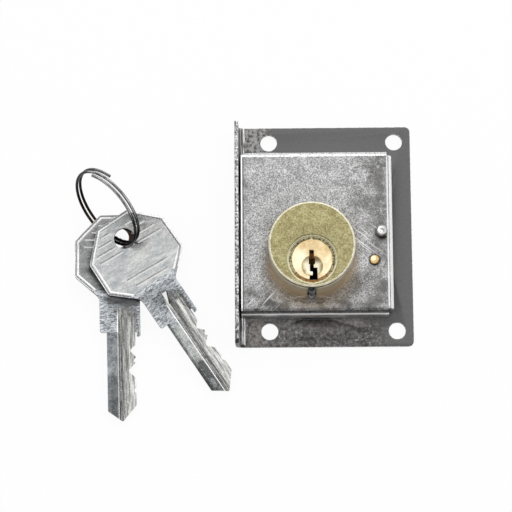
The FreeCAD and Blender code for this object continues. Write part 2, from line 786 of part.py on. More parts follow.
def key(name, label):
    """A flat key: rimmed bow, neck and grooved blade with five cuts."""
    half = "bow_thick / 2"
    right = [(x, y, v.bow_corner) for x, y in bow_outline(0)]
    right[-1] = (v.neck_half, v.bow_end, v.neck_fillet)
    right.append((v.neck_half, v.shoulder, v.bow_corner / 2))
    outline = mirrored(right)
    inner = v.neck_half - v.lip_wide
    outline[len(right) - 1:len(right)] = [
        (v.neck_half, v.shoulder - v.lip_long, v.bow_corner / 2),
        (inner, v.shoulder - v.lip_long, 0),
        (inner, v.shoulder, 0),
    ]
    bow = plate(name + "_bow", outline, ("-" + half, half))
    field = mirrored([(x, y, v.bow_corner / 2) for x, y in bow_outline(v.rim_wide)])
    cuts = [
        plate(name + "_front_field", field, (half + " - rim_high", half + " + 1")),
        plate(name + "_back_field", field, ("-%s - 1" % half, "-%s + rim_high" % half)),
        rod(name + "_hole", "bow_hole / 2", "0", "0", ("-bow_thick", "bow_thick")),
    ]
    cuts += neck_grooves(name)
    rimmed = less(name + "_rimmed", bow, *cuts)

    def side(edge, sign):
        return "%s_%s - blade_shift %s blade_spare" % (edge[0], edge[1], sign)

    stock = []
    length = ("shoulder - blade_length", "shoulder + 2")
    tops = band_tops()
    for index, (band, low) in enumerate(tops):
        high = "%s_top + blade_centre - blade_spare" % band
        bottom = low + " + blade_centre + blade_spare"
        stock.append(box("%s_%s" % (name, band), (bottom, high), length,
                         (side((band, "left"), "+"), side((band, "right"), "-"))))
        if index + 1 < len(tops):
            under = tops[index + 1][0]
            inner_left = max((band, under), key=lambda part: getattr(v, part + "_left"))
            inner_right = min((band, under), key=lambda part: getattr(v, part + "_right"))
            stock.append(box("%s_%s_%s" % (name, band, under),
                             (low + " + blade_centre - 2 * blade_spare",
                              low + " + blade_centre + 2 * blade_spare"), length,
                             (side((inner_left, "left"), "+"), side((inner_right, "right"), "-"))))
    back = v.base_low + v.blade_centre + v.blade_spare
    front = v.slot_top + v.blade_centre - v.blade_spare
    tip = v.shoulder - v.blade_length
    side_view = plate(name + "_side", [
        (back, v.shoulder + 1, 0),
        (back, tip + v.tip_back_slope, 0.4),
        (v.tip_across, tip, 0.4),
        (front, tip + v.tip_front_slope, 0.4),
        (front, v.shoulder + 1, 0),
    ], ("-bow_thick", "bow_thick"))
    blank = shared(name + "_blank", joined(name + "_stock", *stock), side_view)
    notches = []
    for index, cut in enumerate(CUTS):
        floor = front - getattr(v, cut)
        middle = v.shoulder - v.pin_first - index * v.pin_spacing
        flat = v.cut_flat / 2
        wide = front + 1 - floor + flat
        notches.append(plate("%s_notch_%d" % (name, index + 1), [
            (floor, middle - flat, 0),
            (front + 1, middle - wide, 0),
            (front + 1, middle + wide, 0),
            (floor, middle + flat, 0),
        ], ("-bow_thick", "bow_thick")))
    blade = less(name + "_blade", blank, *notches)
    whole = joined(name + "_part", rimmed, blade)
    reach = v.blade_length - v.shoulder
    height = getattr(v, name + "_z")
    slope = math.degrees(math.asin((height - v.tip_height) / reach))
    lie = Rotation(Vector(0, 0, 1), getattr(v, name + "_heading"))
    lie = lie * Rotation(Vector(1, 0, 0), slope)
    lie = lie * Rotation(Vector(0, 1, 0), getattr(v, name + "_roll"))
    whole.Placement = Placement(Vector(), lie)
    for axis in "xyz":
        bind(whole, "Placement.Base." + axis, name + "_" + axis)
    node(whole, label)


def coil_point(turned_by):
    """A place on the ring's centre line, and its direction there."""
    whole_turn = math.radians(360) * v.ring_turns
    rise = v.ring_advance / math.radians(360)
    angle = math.radians(v.ring_start) + turned_by
    spot = Vector(v.ring_radius * math.cos(angle), v.ring_radius * math.sin(angle),
                  rise * (turned_by - whole_turn / 2))
    along = Vector(-v.ring_radius * math.sin(angle), v.ring_radius * math.cos(angle), rise)
    return spot, along.normalize()


def arc_from(start, along, end):
    """The arc that leaves a place in a direction and ends at another place."""
    chord = end - start
    across = (chord - along * along.dot(chord)).normalize()
    radius = chord.dot(chord) / (2 * chord.dot(across))
    centre = start + across * radius
    middle = (start + end) * 0.5 - centre
    return Part.Arc(start, centre + middle.normalize() * radius, end).toShape()


def biarc(first, last):
    """Two arcs that meet smoothly between two places with directions."""
    start, leaving = first
    end, arriving = last
    chord = end - start
    both = leaving + arriving
    slack = 2 * (1 - leaving.dot(arriving))
    along = chord.dot(both)
    reach = (-along + math.sqrt(along ** 2 + slack * chord.dot(chord))) / slack
    joint = (start + end + (leaving - arriving) * reach) * 0.5
    back = arc_from(end, arriving * -1, joint)
    middle = back.valueAt((back.FirstParameter + back.LastParameter) / 2)
    return [arc_from(start, leaving, joint), Part.Arc(joint, middle, end).toShape()]


def key_ring():
    """The split ring: two close turns of round wire, pried open by nothing."""
    whole_turn = math.radians(360) * v.ring_turns
    steps = math.ceil(v.ring_turns * 4)
    spots = [coil_point(whole_turn * step / steps) for step in range(steps + 1)]
    edges = []
    for first, last in zip(spots, spots[1:]):
        edges += biarc(first, last)
    wire = swept("key_ring_part", Part.Wire(edges), v.ring_wire / 2)
    lie = Rotation(Vector(0, 0, 1), v.ring_heading) * Rotation(Vector(0, 1, 0), v.ring_lean)
    wire.Placement = Placement(Vector(v.ring_x, v.ring_y, v.ring_z), lie)
    node(wire, "key_ring")
    samples = [point for edge in edges for point in edge.discretize(24)]
    gaps = []
    for index, point in enumerate(samples):
        for other in samples[index + 96:]:
            gaps.append(point.distanceToPoint(other))
    print("key_ring least gap to itself: %.3f mm" % (min(gaps) - v.ring_wire))


back_plate()
case_cover()
cylinder_housing()
housing_nut()
chamber_cap()
barrel_lock_pin()
plug()
plug_clip()
hook_bolt()
pin_stacks()
studs()
detent_spring()
key("front_key", "key_front")
key("rear_key", "key_rear")
key_ring()

doc.recompute()

for item in doc.Objects:
    if "Invalid" in item.State or "Error" in item.State:
        raise RuntimeError("%s did not build: %s" % (item.Name, item.State))
for piece in nodes:
    if piece.Shape.isNull() or not piece.Shape.isValid():
        raise RuntimeError("%s has no valid shape" % piece.Label)

os.makedirs("parts", exist_ok=True)
for piece in nodes:
    piece.Shape.exportStep("parts/%s.step" % piece.Label)
    shape = piece.Shape
    print("%-18s solids %d, volume %.2f mm3" % (piece.Label, len(shape.Solids), shape.Volume))
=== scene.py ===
import math

import bpy
from mathutils import Matrix, Vector


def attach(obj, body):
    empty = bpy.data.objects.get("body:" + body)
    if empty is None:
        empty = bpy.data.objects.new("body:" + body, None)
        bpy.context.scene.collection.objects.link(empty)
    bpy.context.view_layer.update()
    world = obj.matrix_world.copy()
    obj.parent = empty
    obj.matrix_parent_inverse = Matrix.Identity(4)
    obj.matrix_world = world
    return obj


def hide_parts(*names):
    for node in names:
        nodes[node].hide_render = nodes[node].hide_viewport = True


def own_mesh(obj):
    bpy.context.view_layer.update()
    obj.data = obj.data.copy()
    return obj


# Looks of the sliding door cabinet lock. Lengths are in millimetres until mm() makes them metres.
# The lock lies on its back on a white table, with its two keys on a split ring beside it.

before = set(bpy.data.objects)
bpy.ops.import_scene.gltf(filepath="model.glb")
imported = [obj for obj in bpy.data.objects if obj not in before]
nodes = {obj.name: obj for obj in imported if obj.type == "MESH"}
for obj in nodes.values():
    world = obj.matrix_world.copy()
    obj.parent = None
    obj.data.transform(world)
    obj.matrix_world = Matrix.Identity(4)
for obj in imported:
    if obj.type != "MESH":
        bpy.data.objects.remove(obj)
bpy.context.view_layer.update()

MM = 0.001

# The plate's front, right edge and half height, and the front of its flange.
PLATE_FRONT = 1.0
PLATE_RIGHT = 20.95
PLATE_HALF = 29.5
FLANGE_FRONT = 9.0
# The case's front and lower wall, and the middle of its tab.
CASE_FRONT = 8.8
CASE_LOW = -21.95
TAB_X = -4.8
# Axes of the barrel and the plug, and the heights and radii of their faces.
BARREL = (-5.7, -6.25)
BARREL_FACE = 21.8
BARREL_RADIUS = 11.0
PLUG = (-5.7, -10.25)
PLUG_FACE = 21.6
FACE_RADIUS = 5.1
DISH = (PLUG[0], PLUG[1] - 1.75)
DISH_RADIUS = 2.75
# The heads on the right of the case.
STUD = (10.7, -8.0)
RIVET = (12.75, -0.75)
# Heights of the five pin stacks.
PIN_PLACES = (16.8, 14.2, 11.6, 9.0, 6.4)

# Dark handled places on the case's front: middle, reach, squeeze and strength.
CASE_STAINS = (
    ((12.6, 17.3), 6.5, (1, 1), 0.75), ((9.5, 10.0), 8.0, (1.2, 1), 0.4),
    ((15.0, -4.0), 14.0, (0.6, 2), 0.65), ((-23.4, 13.0), 4.0, (0.5, 2.6), 0.6),
    ((10.0, -18.0), 9.0, (1, 1), 0.55), ((-20.0, -20.2), 10.0, (1.2, 0.6), 1.0),
    ((0.0, -20.8), 8.0, (2.4, 0.5), 0.9),
)
# Scratched places on the case's front: middle, reach and turn.
CASE_SCRATCHES = (((9.5, -3.0), 7.0, -38), ((-18.5, -18.0), 5.5, 47))
# Pale places on the plate: middle, reach, squeeze, how the blots spread them, and tone.
PLATE_PATCHES = (
    ((-20.5, 26.0), 8.0, (0.7, 1), (0.42, 0.56, 0.2, 1.6), (0.36, 0.36, 0.36)),
    ((-19.5, -25.5), 7.0, (1, 1), (0.4, 0.56, 0.3, 1.2), (0.27, 0.25, 0.24)),
)

# The bow of a key, in its own frame: origin in the hole, tip towards -Y, visible face towards +Z.
KEY_THICK = 2.1
RIM_HIGH = 0.25
KEY_LIES = {
    "key_front": ((-54.46, -1.34, 6.02), 34.14, 5.931, 0.05),
    "key_rear": ((-56.27, -0.49, 3.13), 1.31, 2.492, 3.15),
}
BOW_CORNERS = ((4.7, 5.95), (11.45, -0.8), (11.65, -10.1), (5.3, -15.8))
BOW_END = -15.3
NECK_END = -24.8
# Raised lines beside the hole: height on the bow, and the two ends of each.
BOW_LINES = (
    (3.35, -5.2, -2.3), (1.45, -7.0, -3.1), (-0.45, -8.7, -3.2), (-2.4, -9.0, -2.2),
    (3.0, 2.1, 4.2), (1.15, 3.4, 7.0), (-0.95, 3.6, 8.6), (-2.95, 2.4, 9.5),
    (-10.05, -5.6, 6.4), (-12.4, -4.3, 5.3),
)
LINE_TURN = -3.5

# The order of the finishes on the pieces that have several.
SHEET, SHEARED, BENT = range(3)
ZINC, ZINC_EDGE, ZINC_FOLD_HIGHLIGHT, SHADE, FOLD_SHADE, FOLD_HIGHLIGHT_LINE, ZINC_WALL = range(7)
BRASS, BRASS_EDGE_HIGHLIGHT, PAINTED_BAND_BRASS = range(3)
FACED, FACED_EDGE, SLOPE, HOLLOW, KEYWAY = range(5)
NICKEL, NICKEL_EDGE, WALL_SHADE = range(3)

# What the lock and the keys cover of the table, and the table between the ring's coils.
LOCK_COVERS = (20.0, 22.8)
KEYS_COVER = (-58.0, -2.0)
COIL_GAPS = ((-57.4, -0.2), (-56.3, -0.75), (-55.2, -1.2), (-54.2, -1.4))

# The camera that was fitted to the photograph: degrees, millimetres, and metres away.
CAMERA_TILT = 11.189
CAMERA_SIDE = 0.776
CAMERA_ROLL = -0.317
CAMERA_LENS = 135.22
CAMERA_AIM = (-20.168, -5.004, 0)
CAMERA_AWAY = 0.507656


def mm(*lengths):
    """Millimetres as metres."""
    return tuple(length * MM for length in lengths)


def pick(*pieces):
    """Select only these pieces, the first of them active."""
    bpy.ops.object.select_all(action="DESELECT")
    for piece in pieces:
        piece.select_set(True)
    bpy.context.view_layer.objects.active = pieces[0]


def settle(piece):
    """Put a piece's place, turn and size into its mesh."""
    pick(piece)
    bpy.ops.object.transform_apply(location=True, rotation=True, scale=True)
    return piece


def modify(piece, kind, **settings):
    """Add a modifier and apply it."""
    pick(piece)
    tool = piece.modifiers.new(kind.title(), kind)
    for name, value in settings.items():
        setattr(tool, name, value)
    bpy.ops.object.modifier_apply(modifier=tool.name)
    return piece


def place(piece, body, slot, *stands_for):
    """Let a finished piece ride on its body, and hide the imported pieces that it stands for. The
    slot is not used.
    """
    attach(piece, body)
    if stands_for:
        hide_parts(*stands_for)
    return piece


class Finish:
    """A procedural material, put together step by step. Sizes of patterns are in millimetres."""

    def __init__(self, name, metallic=1.0, roughness=0.35):
        self.material = bpy.data.materials.new(name)
        self.material.use_nodes = True
        self.tree = self.material.node_tree
        self.shader = self.tree.nodes["Principled BSDF"]
        self.shader.inputs["Metallic"].default_value = metallic
        self.shader.inputs["Roughness"].default_value = roughness
        self.coordinates = self.add("ShaderNodeTexCoord").outputs["Object"]

    def add(self, kind, **settings):
        node = self.tree.nodes.new(kind)
        for name, value in settings.items():
            setattr(node, name, value)
        return node

    def join(self, source, target):
        self.tree.links.new(source, target)

    def feed(self, socket, source):
        if hasattr(source, "is_output"):
            self.join(source, socket)
        else:
            socket.default_value = source

    def mapped(self, middle=(0, 0, 0), turn=0.0, stretch=(1, 1, 1)):
        """Object coordinates about a point, turned about Z and then stretched."""
        centred = self.add("ShaderNodeMapping", vector_type="TEXTURE")
        centred.inputs["Location"].default_value = mm(*middle)
        centred.inputs["Rotation"].default_value = (0, 0, math.radians(turn))
        centred.inputs["Scale"].default_value = stretch
        self.join(self.coordinates, centred.inputs["Vector"])
        return centred.outputs["Vector"]

    def noise(self, size, detail=3.0, rough=0.55, warp=0.0, at=None):
        """Soft clouds whose blots are about the given size."""
        cloud = self.add("ShaderNodeTexNoise")
        cloud.inputs["Scale"].default_value = 1 / (size * MM)
        cloud.inputs["Detail"].default_value = detail
        cloud.inputs["Roughness"].default_value = rough
        cloud.inputs["Distortion"].default_value = warp
        self.join(at or self.coordinates, cloud.inputs["Vector"])
        return cloud.outputs["Fac"]

    def near(self, middle, reach, squeeze=(1, 1, 1)):
        """One at a point, falling to zero at a distance."""
        ball = self.add("ShaderNodeTexGradient", gradient_type="SPHERICAL")
        stretch = tuple(reach * MM * part for part in squeeze)
        self.join(self.mapped(middle, 0.0, stretch), ball.inputs["Vector"])
        return ball.outputs["Fac"]

    def away(self, x, y):
        """Distance from a line along Z, in millimetres."""
        flat = self.add("ShaderNodeVectorMath", operation="MULTIPLY")
        self.join(self.mapped((x, y, 0)), flat.inputs[0])
        flat.inputs[1].default_value = (1 / MM, 1 / MM, 0)
        length = self.add("ShaderNodeVectorMath", operation="LENGTH")
        self.join(flat.outputs["Vector"], length.inputs[0])
        return length.outputs["Value"]

    def band(self, source, low, high, soft=0.06):
        """One where a value lies between two others, zero elsewhere."""
        return self.times(self.span(source, low - soft, low + soft),
                          self.span(source, high + soft, high - soft))

    def axis(self, letter, low, high):
        """Zero at one place along an axis, one at another."""
        parts = self.add("ShaderNodeSeparateXYZ")
        self.join(self.coordinates, parts.inputs["Vector"])
        span = self.add("ShaderNodeMapRange")
        self.join(parts.outputs[letter], span.inputs["Value"])
        span.inputs["From Min"].default_value = low * MM
        span.inputs["From Max"].default_value = high * MM
        return span.outputs["Result"]

    def math(self, how, first, second=0.0, third=0.0):
        step = self.add("ShaderNodeMath", operation=how)
        for socket, source in zip(step.inputs, (first, second, third)):
            self.feed(socket, source)
        return step.outputs["Value"]

    def times(self, first, second):
        return self.math("MULTIPLY", first, second)

    def part(self, letter):
        """One coordinate, in millimetres."""
        parts = self.add("ShaderNodeSeparateXYZ")
        self.join(self.coordinates, parts.inputs["Vector"])
        return self.math("MULTIPLY", parts.outputs[letter], 1 / MM)

    def span(self, source, low, high, to_low=0.0, to_high=1.0):
        """Stretch a part of a value's range over another range."""
        step = self.add("ShaderNodeMapRange")
        self.join(source, step.inputs["Value"])
        for name, value in (("From Min", low), ("From Max", high), ("To Min", to_low),
                            ("To Max", to_high)):
            step.inputs[name].default_value = value
        return step.outputs["Result"]

    def ramp(self, source, *stops):
        """Colours at places along a value."""
        band = self.add("ShaderNodeValToRGB")
        self.join(source, band.inputs["Fac"])
        points = band.color_ramp.elements
        while len(points) < len(stops):
            points.new(1.0)
        for point, (spot, colour) in zip(points, stops):
            point.position = spot
            point.color = (*colour, 1.0)
        return band.outputs["Color"]

    def mix(self, how_far, first, second, way="MIX"):
        """Two colours mixed by a value."""
        blend = self.add("ShaderNodeMix", data_type="RGBA", blend_type=way)
        self.feed(blend.inputs[0], how_far)
        for socket, source in ((blend.inputs[6], first), (blend.inputs[7], second)):
            self.feed(socket, (*source, 1.0) if isinstance(source, tuple) else source)
        return blend.outputs[2]

    def colour(self, source):
        self.feed(self.shader.inputs["Base Color"],
                  (*source, 1.0) if isinstance(source, tuple) else source)
        return self

    def rough(self, source):
        self.feed(self.shader.inputs["Roughness"], source)
        return self

    def bump(self, source, depth, strength=1.0):
        """Relief of a depth in millimetres."""
        relief = self.add("ShaderNodeBump")
        relief.inputs["Distance"].default_value = depth * MM
        relief.inputs["Strength"].default_value = strength
        self.join(source, relief.inputs["Height"])
        if self.shader.inputs["Normal"].links:
            self.join(self.shader.inputs["Normal"].links[0].from_socket, relief.inputs["Normal"])
        self.join(relief.outputs["Normal"], self.shader.inputs["Normal"])
        return self


def grey(value, warm=0.0):
    return (value * (1 + warm), value, value * (1 - warm))


def painted_barrel_reflection(made, base, grain, cloud):
    """The barrel mirrored in the sheet round its foot: a painted brown reflection with painted
    bright rings, and painted light next to the foot below the barrel.
    """
    reach = made.math("ADD", made.away(*BARREL), made.span(cloud, 0.3, 0.7, -0.5, 0.5))
    rings = made.add("ShaderNodeTexNoise", noise_dimensions="1D")
    rings.inputs["Scale"].default_value = 2.2
    made.join(reach, rings.inputs["W"])
    halo = made.near((BARREL[0], BARREL[1] - 3.5, CASE_FRONT), 16.5, (0.9, 1, 1))
    halo = made.times(made.span(halo, 0.12, 0.45), made.span(grain, 0.40, 0.60, 1.0, 0.5))
    base = made.mix(made.times(halo, 0.55), base, (0.26, 0.19, 0.125))
    lines = made.times(made.span(rings.outputs["Fac"], 0.52, 0.62), halo)
    base = made.mix(made.times(lines, 0.7), base, (0.62, 0.52, 0.40))
    # Painted light on the sheet next to the barrel's foot, on its lower side.
    foot = made.span(made.away(*BARREL), 12.4, 11.2, 0.0, 0.6)
    return made.mix(made.times(foot, made.axis("Y", -6.0, -12.0)), base, (0.80, 0.66, 0.50))


def painted_edge_lines(made, base, grain):
    """A painted highlight along the left edge with a dark line inside it, a painted highlight on
    the lip of the lower fold, and painted shade at the tab's slot.
    """
    side = made.math("ADD", made.part("X"), made.span(grain, 0.3, 0.7, -0.05, 0.05))
    # Painted highlight along the case's left edge, with a dark line inside it.
    base = made.mix(made.band(side, -23.5, -23.2), base, grey(0.12))
    base = made.mix(made.span(side, -23.5, -23.6, 0.0, 0.95), base, grey(0.98))
    # Painted highlight on the lip of the lower fold.
    lip = made.times(made.axis("Z", 6.1, 6.3), made.axis("Y", CASE_LOW + 0.15, CASE_LOW + 0.07))
    base = made.mix(made.times(lip, 0.9), base, grey(0.98))
    # Painted shade at the foot of the wall, where the tab goes into the plate's slot.
    slot = made.times(made.band(made.part("X"), TAB_X - 3.9, TAB_X + 3.9),
                      made.axis("Z", 2.1, 1.9))
    slot = made.times(slot, made.axis("Y", CASE_LOW + 0.35, CASE_LOW + 0.15))
    return made.mix(slot, base, grey(0.01))


def grained_zinc(name, metallic):
    """The case: zinc on grained sheet, with darker handled places, a painted reflection of the
    barrel, painted shadows round the heads, scratches, and painted highlights and shade along its
    edges and at the tab's slot.
    """
    made = Finish(name, metallic, 0.42)
    grain = made.noise(0.28, 3.0, 0.8)
    sparkle = made.noise(0.2, 1.0, 0.5)
    cloud = made.noise(4.5, 4.0, 0.65)
    base = made.ramp(grain, (0.40, grey(0.14)), (0.5, grey(0.335)), (0.60, grey(0.68)))
    base = made.mix(made.span(sparkle, 0.6, 0.7, 0.0, 0.8), base, grey(0.9))
    base = made.mix(1.0, base, made.span(cloud, 0.35, 0.65, 0.8, 1.12), "MULTIPLY")
    for middle, reach, squeeze, share in CASE_STAINS:
        patch = made.times(made.near((*middle, CASE_FRONT), reach, (*squeeze, 1)),
                           made.span(cloud, 0.36, 0.56, 1.8, 0.3))
        base = made.mix(made.span(patch, 0.0, 0.8, 0.0, share), base, grey(0.11, 0.03))
    base = painted_barrel_reflection(made, base, grain, cloud)
    # Painted shadows round the heads of the stud and the rivet.
    for spot, radius in ((STUD, 1.2), (RIVET, 1.5)):
        ring = made.near((*spot, CASE_FRONT), radius + 0.55, (1, 1, 4))
        base = made.mix(made.span(ring, 0.0, 0.2, 0.0, 0.85), base, (0.05, 0.04, 0.03))
    for middle, reach, turn in CASE_SCRATCHES:
        scratch = made.noise(1.3, 2.0, 0.5, 0.0, made.mapped(turn=turn, stretch=(9, 0.22, 1)))
        marks = made.times(made.span(scratch, 0.61, 0.67),
                           made.near((*middle, CASE_FRONT), reach))
        base = made.mix(made.times(marks, 1.6), base, grey(0.85))
    base = painted_edge_lines(made, base, grain)
    made.colour(base)
    made.rough(made.span(grain, 0.35, 0.65, 0.34, 0.5))
    made.bump(grain, 0.04, 0.6)
    return made.material


def fold_highlight_zinc():
    """The folds of the case, painted bright as a highlight."""
    made = Finish("fold_highlight_zinc", roughness=0.27)
    grain = made.noise(0.5, 3.0, 0.7)
    made.colour(made.ramp(grain, (0.38, grey(0.50)), (0.5, grey(0.76)), (0.6, grey(0.93))))
    made.bump(grain, 0.03, 0.4)
    return made.material


def bright_edge(name, shade):
    """Worn, burnished metal along an edge."""
    made = Finish(name, roughness=0.25)
    rub = made.noise(1.1, 3.0, 0.6)
    made.colour(made.ramp(rub, (0.3, tuple(0.72 * part for part in shade)), (0.7, shade)))
    made.bump(made.noise(0.3, 2.0), 0.01, 0.4)
    return made.material


def rolled_steel():
    """The back plate: smooth dark sheet, mottled at its left and lower ends, with painted light
    where the barrel's shadow falls below the case.
    """
    made = Finish("rolled_steel", roughness=0.4)
    fine = made.noise(0.5, 3.0, 0.6)
    blot = made.noise(0.9, 4.0, 0.7, 0.1)
    wide = made.noise(3.2, 3.0, 0.6)
    plain = made.ramp(fine, (0.3, grey(0.112)), (0.7, grey(0.132)))
    mottled = made.ramp(blot, (0.38, (0.064, 0.060, 0.058)), (0.48, (0.096, 0.090, 0.087)),
                        (0.58, (0.155, 0.15, 0.147)), (0.68, grey(0.28)))
    mottled = made.mix(1.0, mottled, made.span(wide, 0.35, 0.65, 0.75, 1.25), "MULTIPLY")
    for middle, reach, squeeze, spread, tone in PLATE_PATCHES:
        patch = made.times(made.near((*middle, PLATE_FRONT), reach, (*squeeze, 1)),
                           made.span(blot, *spread))
        mottled = made.mix(made.span(patch, 0.1, 0.7, 0.0, 0.5), mottled, tone)
    specks = made.noise(0.42, 2.0, 0.5)
    mottled = made.mix(made.span(specks, 0.68, 0.73, 0.0, 0.8), mottled, grey(0.6))
    low = made.times(made.axis("Y", -20.0, -24.0), made.axis("X", 17.0, 8.0))
    where = made.math("MAXIMUM", low, made.axis("X", -14.5, -19.0))
    # Painted light on the plate under the case, where the barrel's shadow falls.
    below = made.near((-2.0, -23.6, PLATE_FRONT), 13.0, (1, 0.17, 1))
    painted_light = made.times(made.span(below, 0.0, 0.5), made.span(blot, 0.42, 0.6, 0.5, 1.0))
    mottled = made.mix(made.times(painted_light, 0.6), mottled, (0.40, 0.37, 0.36))
    made.colour(made.mix(made.span(where, 0.0, 0.8), plain, mottled))
    made.rough(made.span(blot, 0.3, 0.7, 0.34, 0.46))
    made.bump(fine, 0.01, 0.25)
    return made.material


def sheared_edge():
    """Cut faces of the plate and flange: light and granular, with a dark lower corner."""
    made = Finish("sheared_edge", roughness=0.4)
    grain = made.noise(0.55, 3.0, 0.75)
    base = made.ramp(grain, (0.40, grey(0.07)), (0.48, grey(0.32)), (0.58, grey(0.85)))
    corner = made.axis("X", -25.6, -24.9)
    base = made.mix(1.0, base, made.span(corner, 0.0, 1.0, 0.4, 1.0), "MULTIPLY")
    dark_spot = made.near((-24.7, -29.2, FLANGE_FRONT), 1.1)
    made.colour(made.mix(made.span(dark_spot, 0.0, 0.3, 0.0, 0.95), base, grey(0.02)))
    made.bump(grain, 0.04, 0.6)
    return made.material


def aged_brass():
    """The barrel's face: olive brass with pale blots, painted highlights at its two rims, and
    painted shade on the upper side of the bore's edge.
    """
    made = Finish("aged_brass", roughness=0.36)
    blot = made.noise(1.5, 4.0, 0.68)
    fine = made.noise(0.42, 2.0, 0.6)
    base = made.ramp(blot, (0.38, (0.25, 0.215, 0.10)), (0.5, (0.315, 0.28, 0.14)),
                     (0.64, (0.42, 0.39, 0.21)))
    base = made.mix(made.span(fine, 0.54, 0.68, 0.0, 0.55), base, (0.62, 0.57, 0.34))
    base = made.mix(made.span(fine, 0.46, 0.34, 0.0, 0.55), base, (0.14, 0.12, 0.05))
    wobble = made.span(fine, 0.3, 0.7, -0.06, 0.06)
    bore = made.math("ADD", made.away(*PLUG), wobble)
    # Painted shade on the upper side of the bore's edge.
    bore_shade = made.times(made.band(bore, 6.3, 6.6), made.axis("Y", -8.0, -5.0))
    base = made.mix(made.times(bore_shade, 0.75), base, (0.09, 0.07, 0.02))
    # Painted highlights at the bore's edge and at the outer rim.
    base = made.mix(made.times(made.band(bore, 5.9, 6.22), 0.9), base, (0.96, 0.92, 0.74))
    rim = made.math("ADD", made.away(*BARREL), wobble)
    base = made.mix(made.span(rim, 10.5, 10.62, 0.0, 0.9), base, (0.97, 0.93, 0.74))
    made.colour(base)
    made.rough(made.span(blot, 0.3, 0.7, 0.30, 0.44))
    made.bump(fine, 0.015, 0.4)
    return made.material


def barrel_wall():
    """The barrel's side: brass drawn round, with painted bright and dark bands along its height
    and painted light towards its foot.
    """
    made = Finish("barrel_wall", metallic=0.5, roughness=0.32)
    height = made.axis("Z", CASE_FRONT, BARREL_FACE)
    uneven = made.noise(1.2, 3.0, 0.6, 0.0, made.mapped(stretch=(3, 3, 1)))
    height = made.math("ADD", height, made.span(uneven, 0.3, 0.7, -0.05, 0.05))
    # Painted highlight and shade bands by height, lighter at the foot.
    base = made.ramp(height, (0.0, (0.56, 0.45, 0.28)), (0.25, (0.46, 0.37, 0.22)),
                     (0.50, (0.38, 0.30, 0.19)), (0.68, (0.42, 0.35, 0.21)),
                     (0.74, (0.90, 0.84, 0.64)), (0.79, (0.90, 0.84, 0.64)),
                     (0.83, (0.09, 0.06, 0.02)), (0.95, (0.12, 0.08, 0.03)))
    fine = made.noise(0.3, 2.5, 0.7)
    base = made.mix(made.span(fine, 0.52, 0.66, 0.0, 0.6), base, (0.88, 0.80, 0.58))
    made.colour(made.mix(made.span(fine, 0.48, 0.36, 0.0, 0.6), base, (0.14, 0.10, 0.05)))
    made.bump(fine, 0.01, 0.4)
    return made.material


def slope_brass():
    """The slope round the plug's face: dark dots, brown below, and a painted highlight ring at its
    rim.
    """
    made = Finish("slope_brass", metallic=0.5, roughness=0.34)
    dots = made.noise(0.5, 2.0, 0.7)
    base = made.ramp(dots, (0.42, (0.07, 0.055, 0.02)), (0.49, (0.26, 0.22, 0.10)),
                     (0.60, (0.66, 0.60, 0.38)))
    low = made.times(made.axis("Y", -12.8, -14.8), made.span(dots, 0.4, 0.6, 0.9, 0.6))
    base = made.mix(low, base, (0.30, 0.135, 0.035))
    reach = made.math("ADD", made.away(*PLUG), made.span(dots, 0.3, 0.7, -0.07, 0.07))
    notch = made.times(made.band(made.part("X"), PLUG[0] - 0.4, PLUG[0] + 0.1),
                       made.axis("Y", PLUG[1], PLUG[1] + 1.0))
    base = made.mix(notch, base, (0.80, 0.70, 0.46))
    # A painted highlight ring at the slope's rim, hardly metallic.
    ring = made.band(reach, 5.86, 6.2)
    made.colour(made.mix(ring, base, (0.99, 0.95, 0.80)))
    made.join(made.span(ring, 0.0, 1.0, 0.5, 0.05), made.shader.inputs["Metallic"])
    made.bump(dots, 0.02, 0.5)
    return made.material


def dish_wear_and_sheen():
    """The hollow round the keyway, rubbed by the key, with a painted highlight towards its middle,
    a painted dark ring near its edge and painted shade at its upper right.
    """
    made = Finish("dish_wear_and_sheen", metallic=0.5, roughness=0.3)
    reach = made.math("ADD", made.away(*DISH),
                      made.span(made.noise(0.9, 2.0), 0.3, 0.7, -0.25, 0.25))
    base = made.ramp(made.times(reach, 0.3), (0.0, (0.78, 0.70, 0.50)),
                     (0.50, (0.90, 0.84, 0.66)), (0.66, (0.72, 0.62, 0.38)),
                     (0.76, (0.42, 0.35, 0.17)), (0.84, (0.70, 0.60, 0.36)))
    # Painted shade at the upper right of the hollow.
    dark = made.near((PLUG[0] + 1.2, PLUG[1] + 0.3, 21.2), 1.5)
    base = made.mix(made.span(dark, 0.0, 0.6, 0.0, 0.8), base, (0.26, 0.20, 0.10))
    made.colour(base)
    made.bump(made.noise(0.3, 2.0), 0.02, 0.4)
    return made.material


def keyway_shade():
    """The walls of the keyway: unlit brass, glowing brown where the light gets in."""
    made = Finish("keyway_shade", metallic=0.3, roughness=0.5)
    glow = made.times(made.near((PLUG[0], PLUG[1] + 0.1, 20.3), 1.9), 2.4)
    made.colour(made.mix(made.span(glow, 0.1, 0.9), (0.012, 0.006, 0.003), (0.85, 0.33, 0.08)))
    return made.material


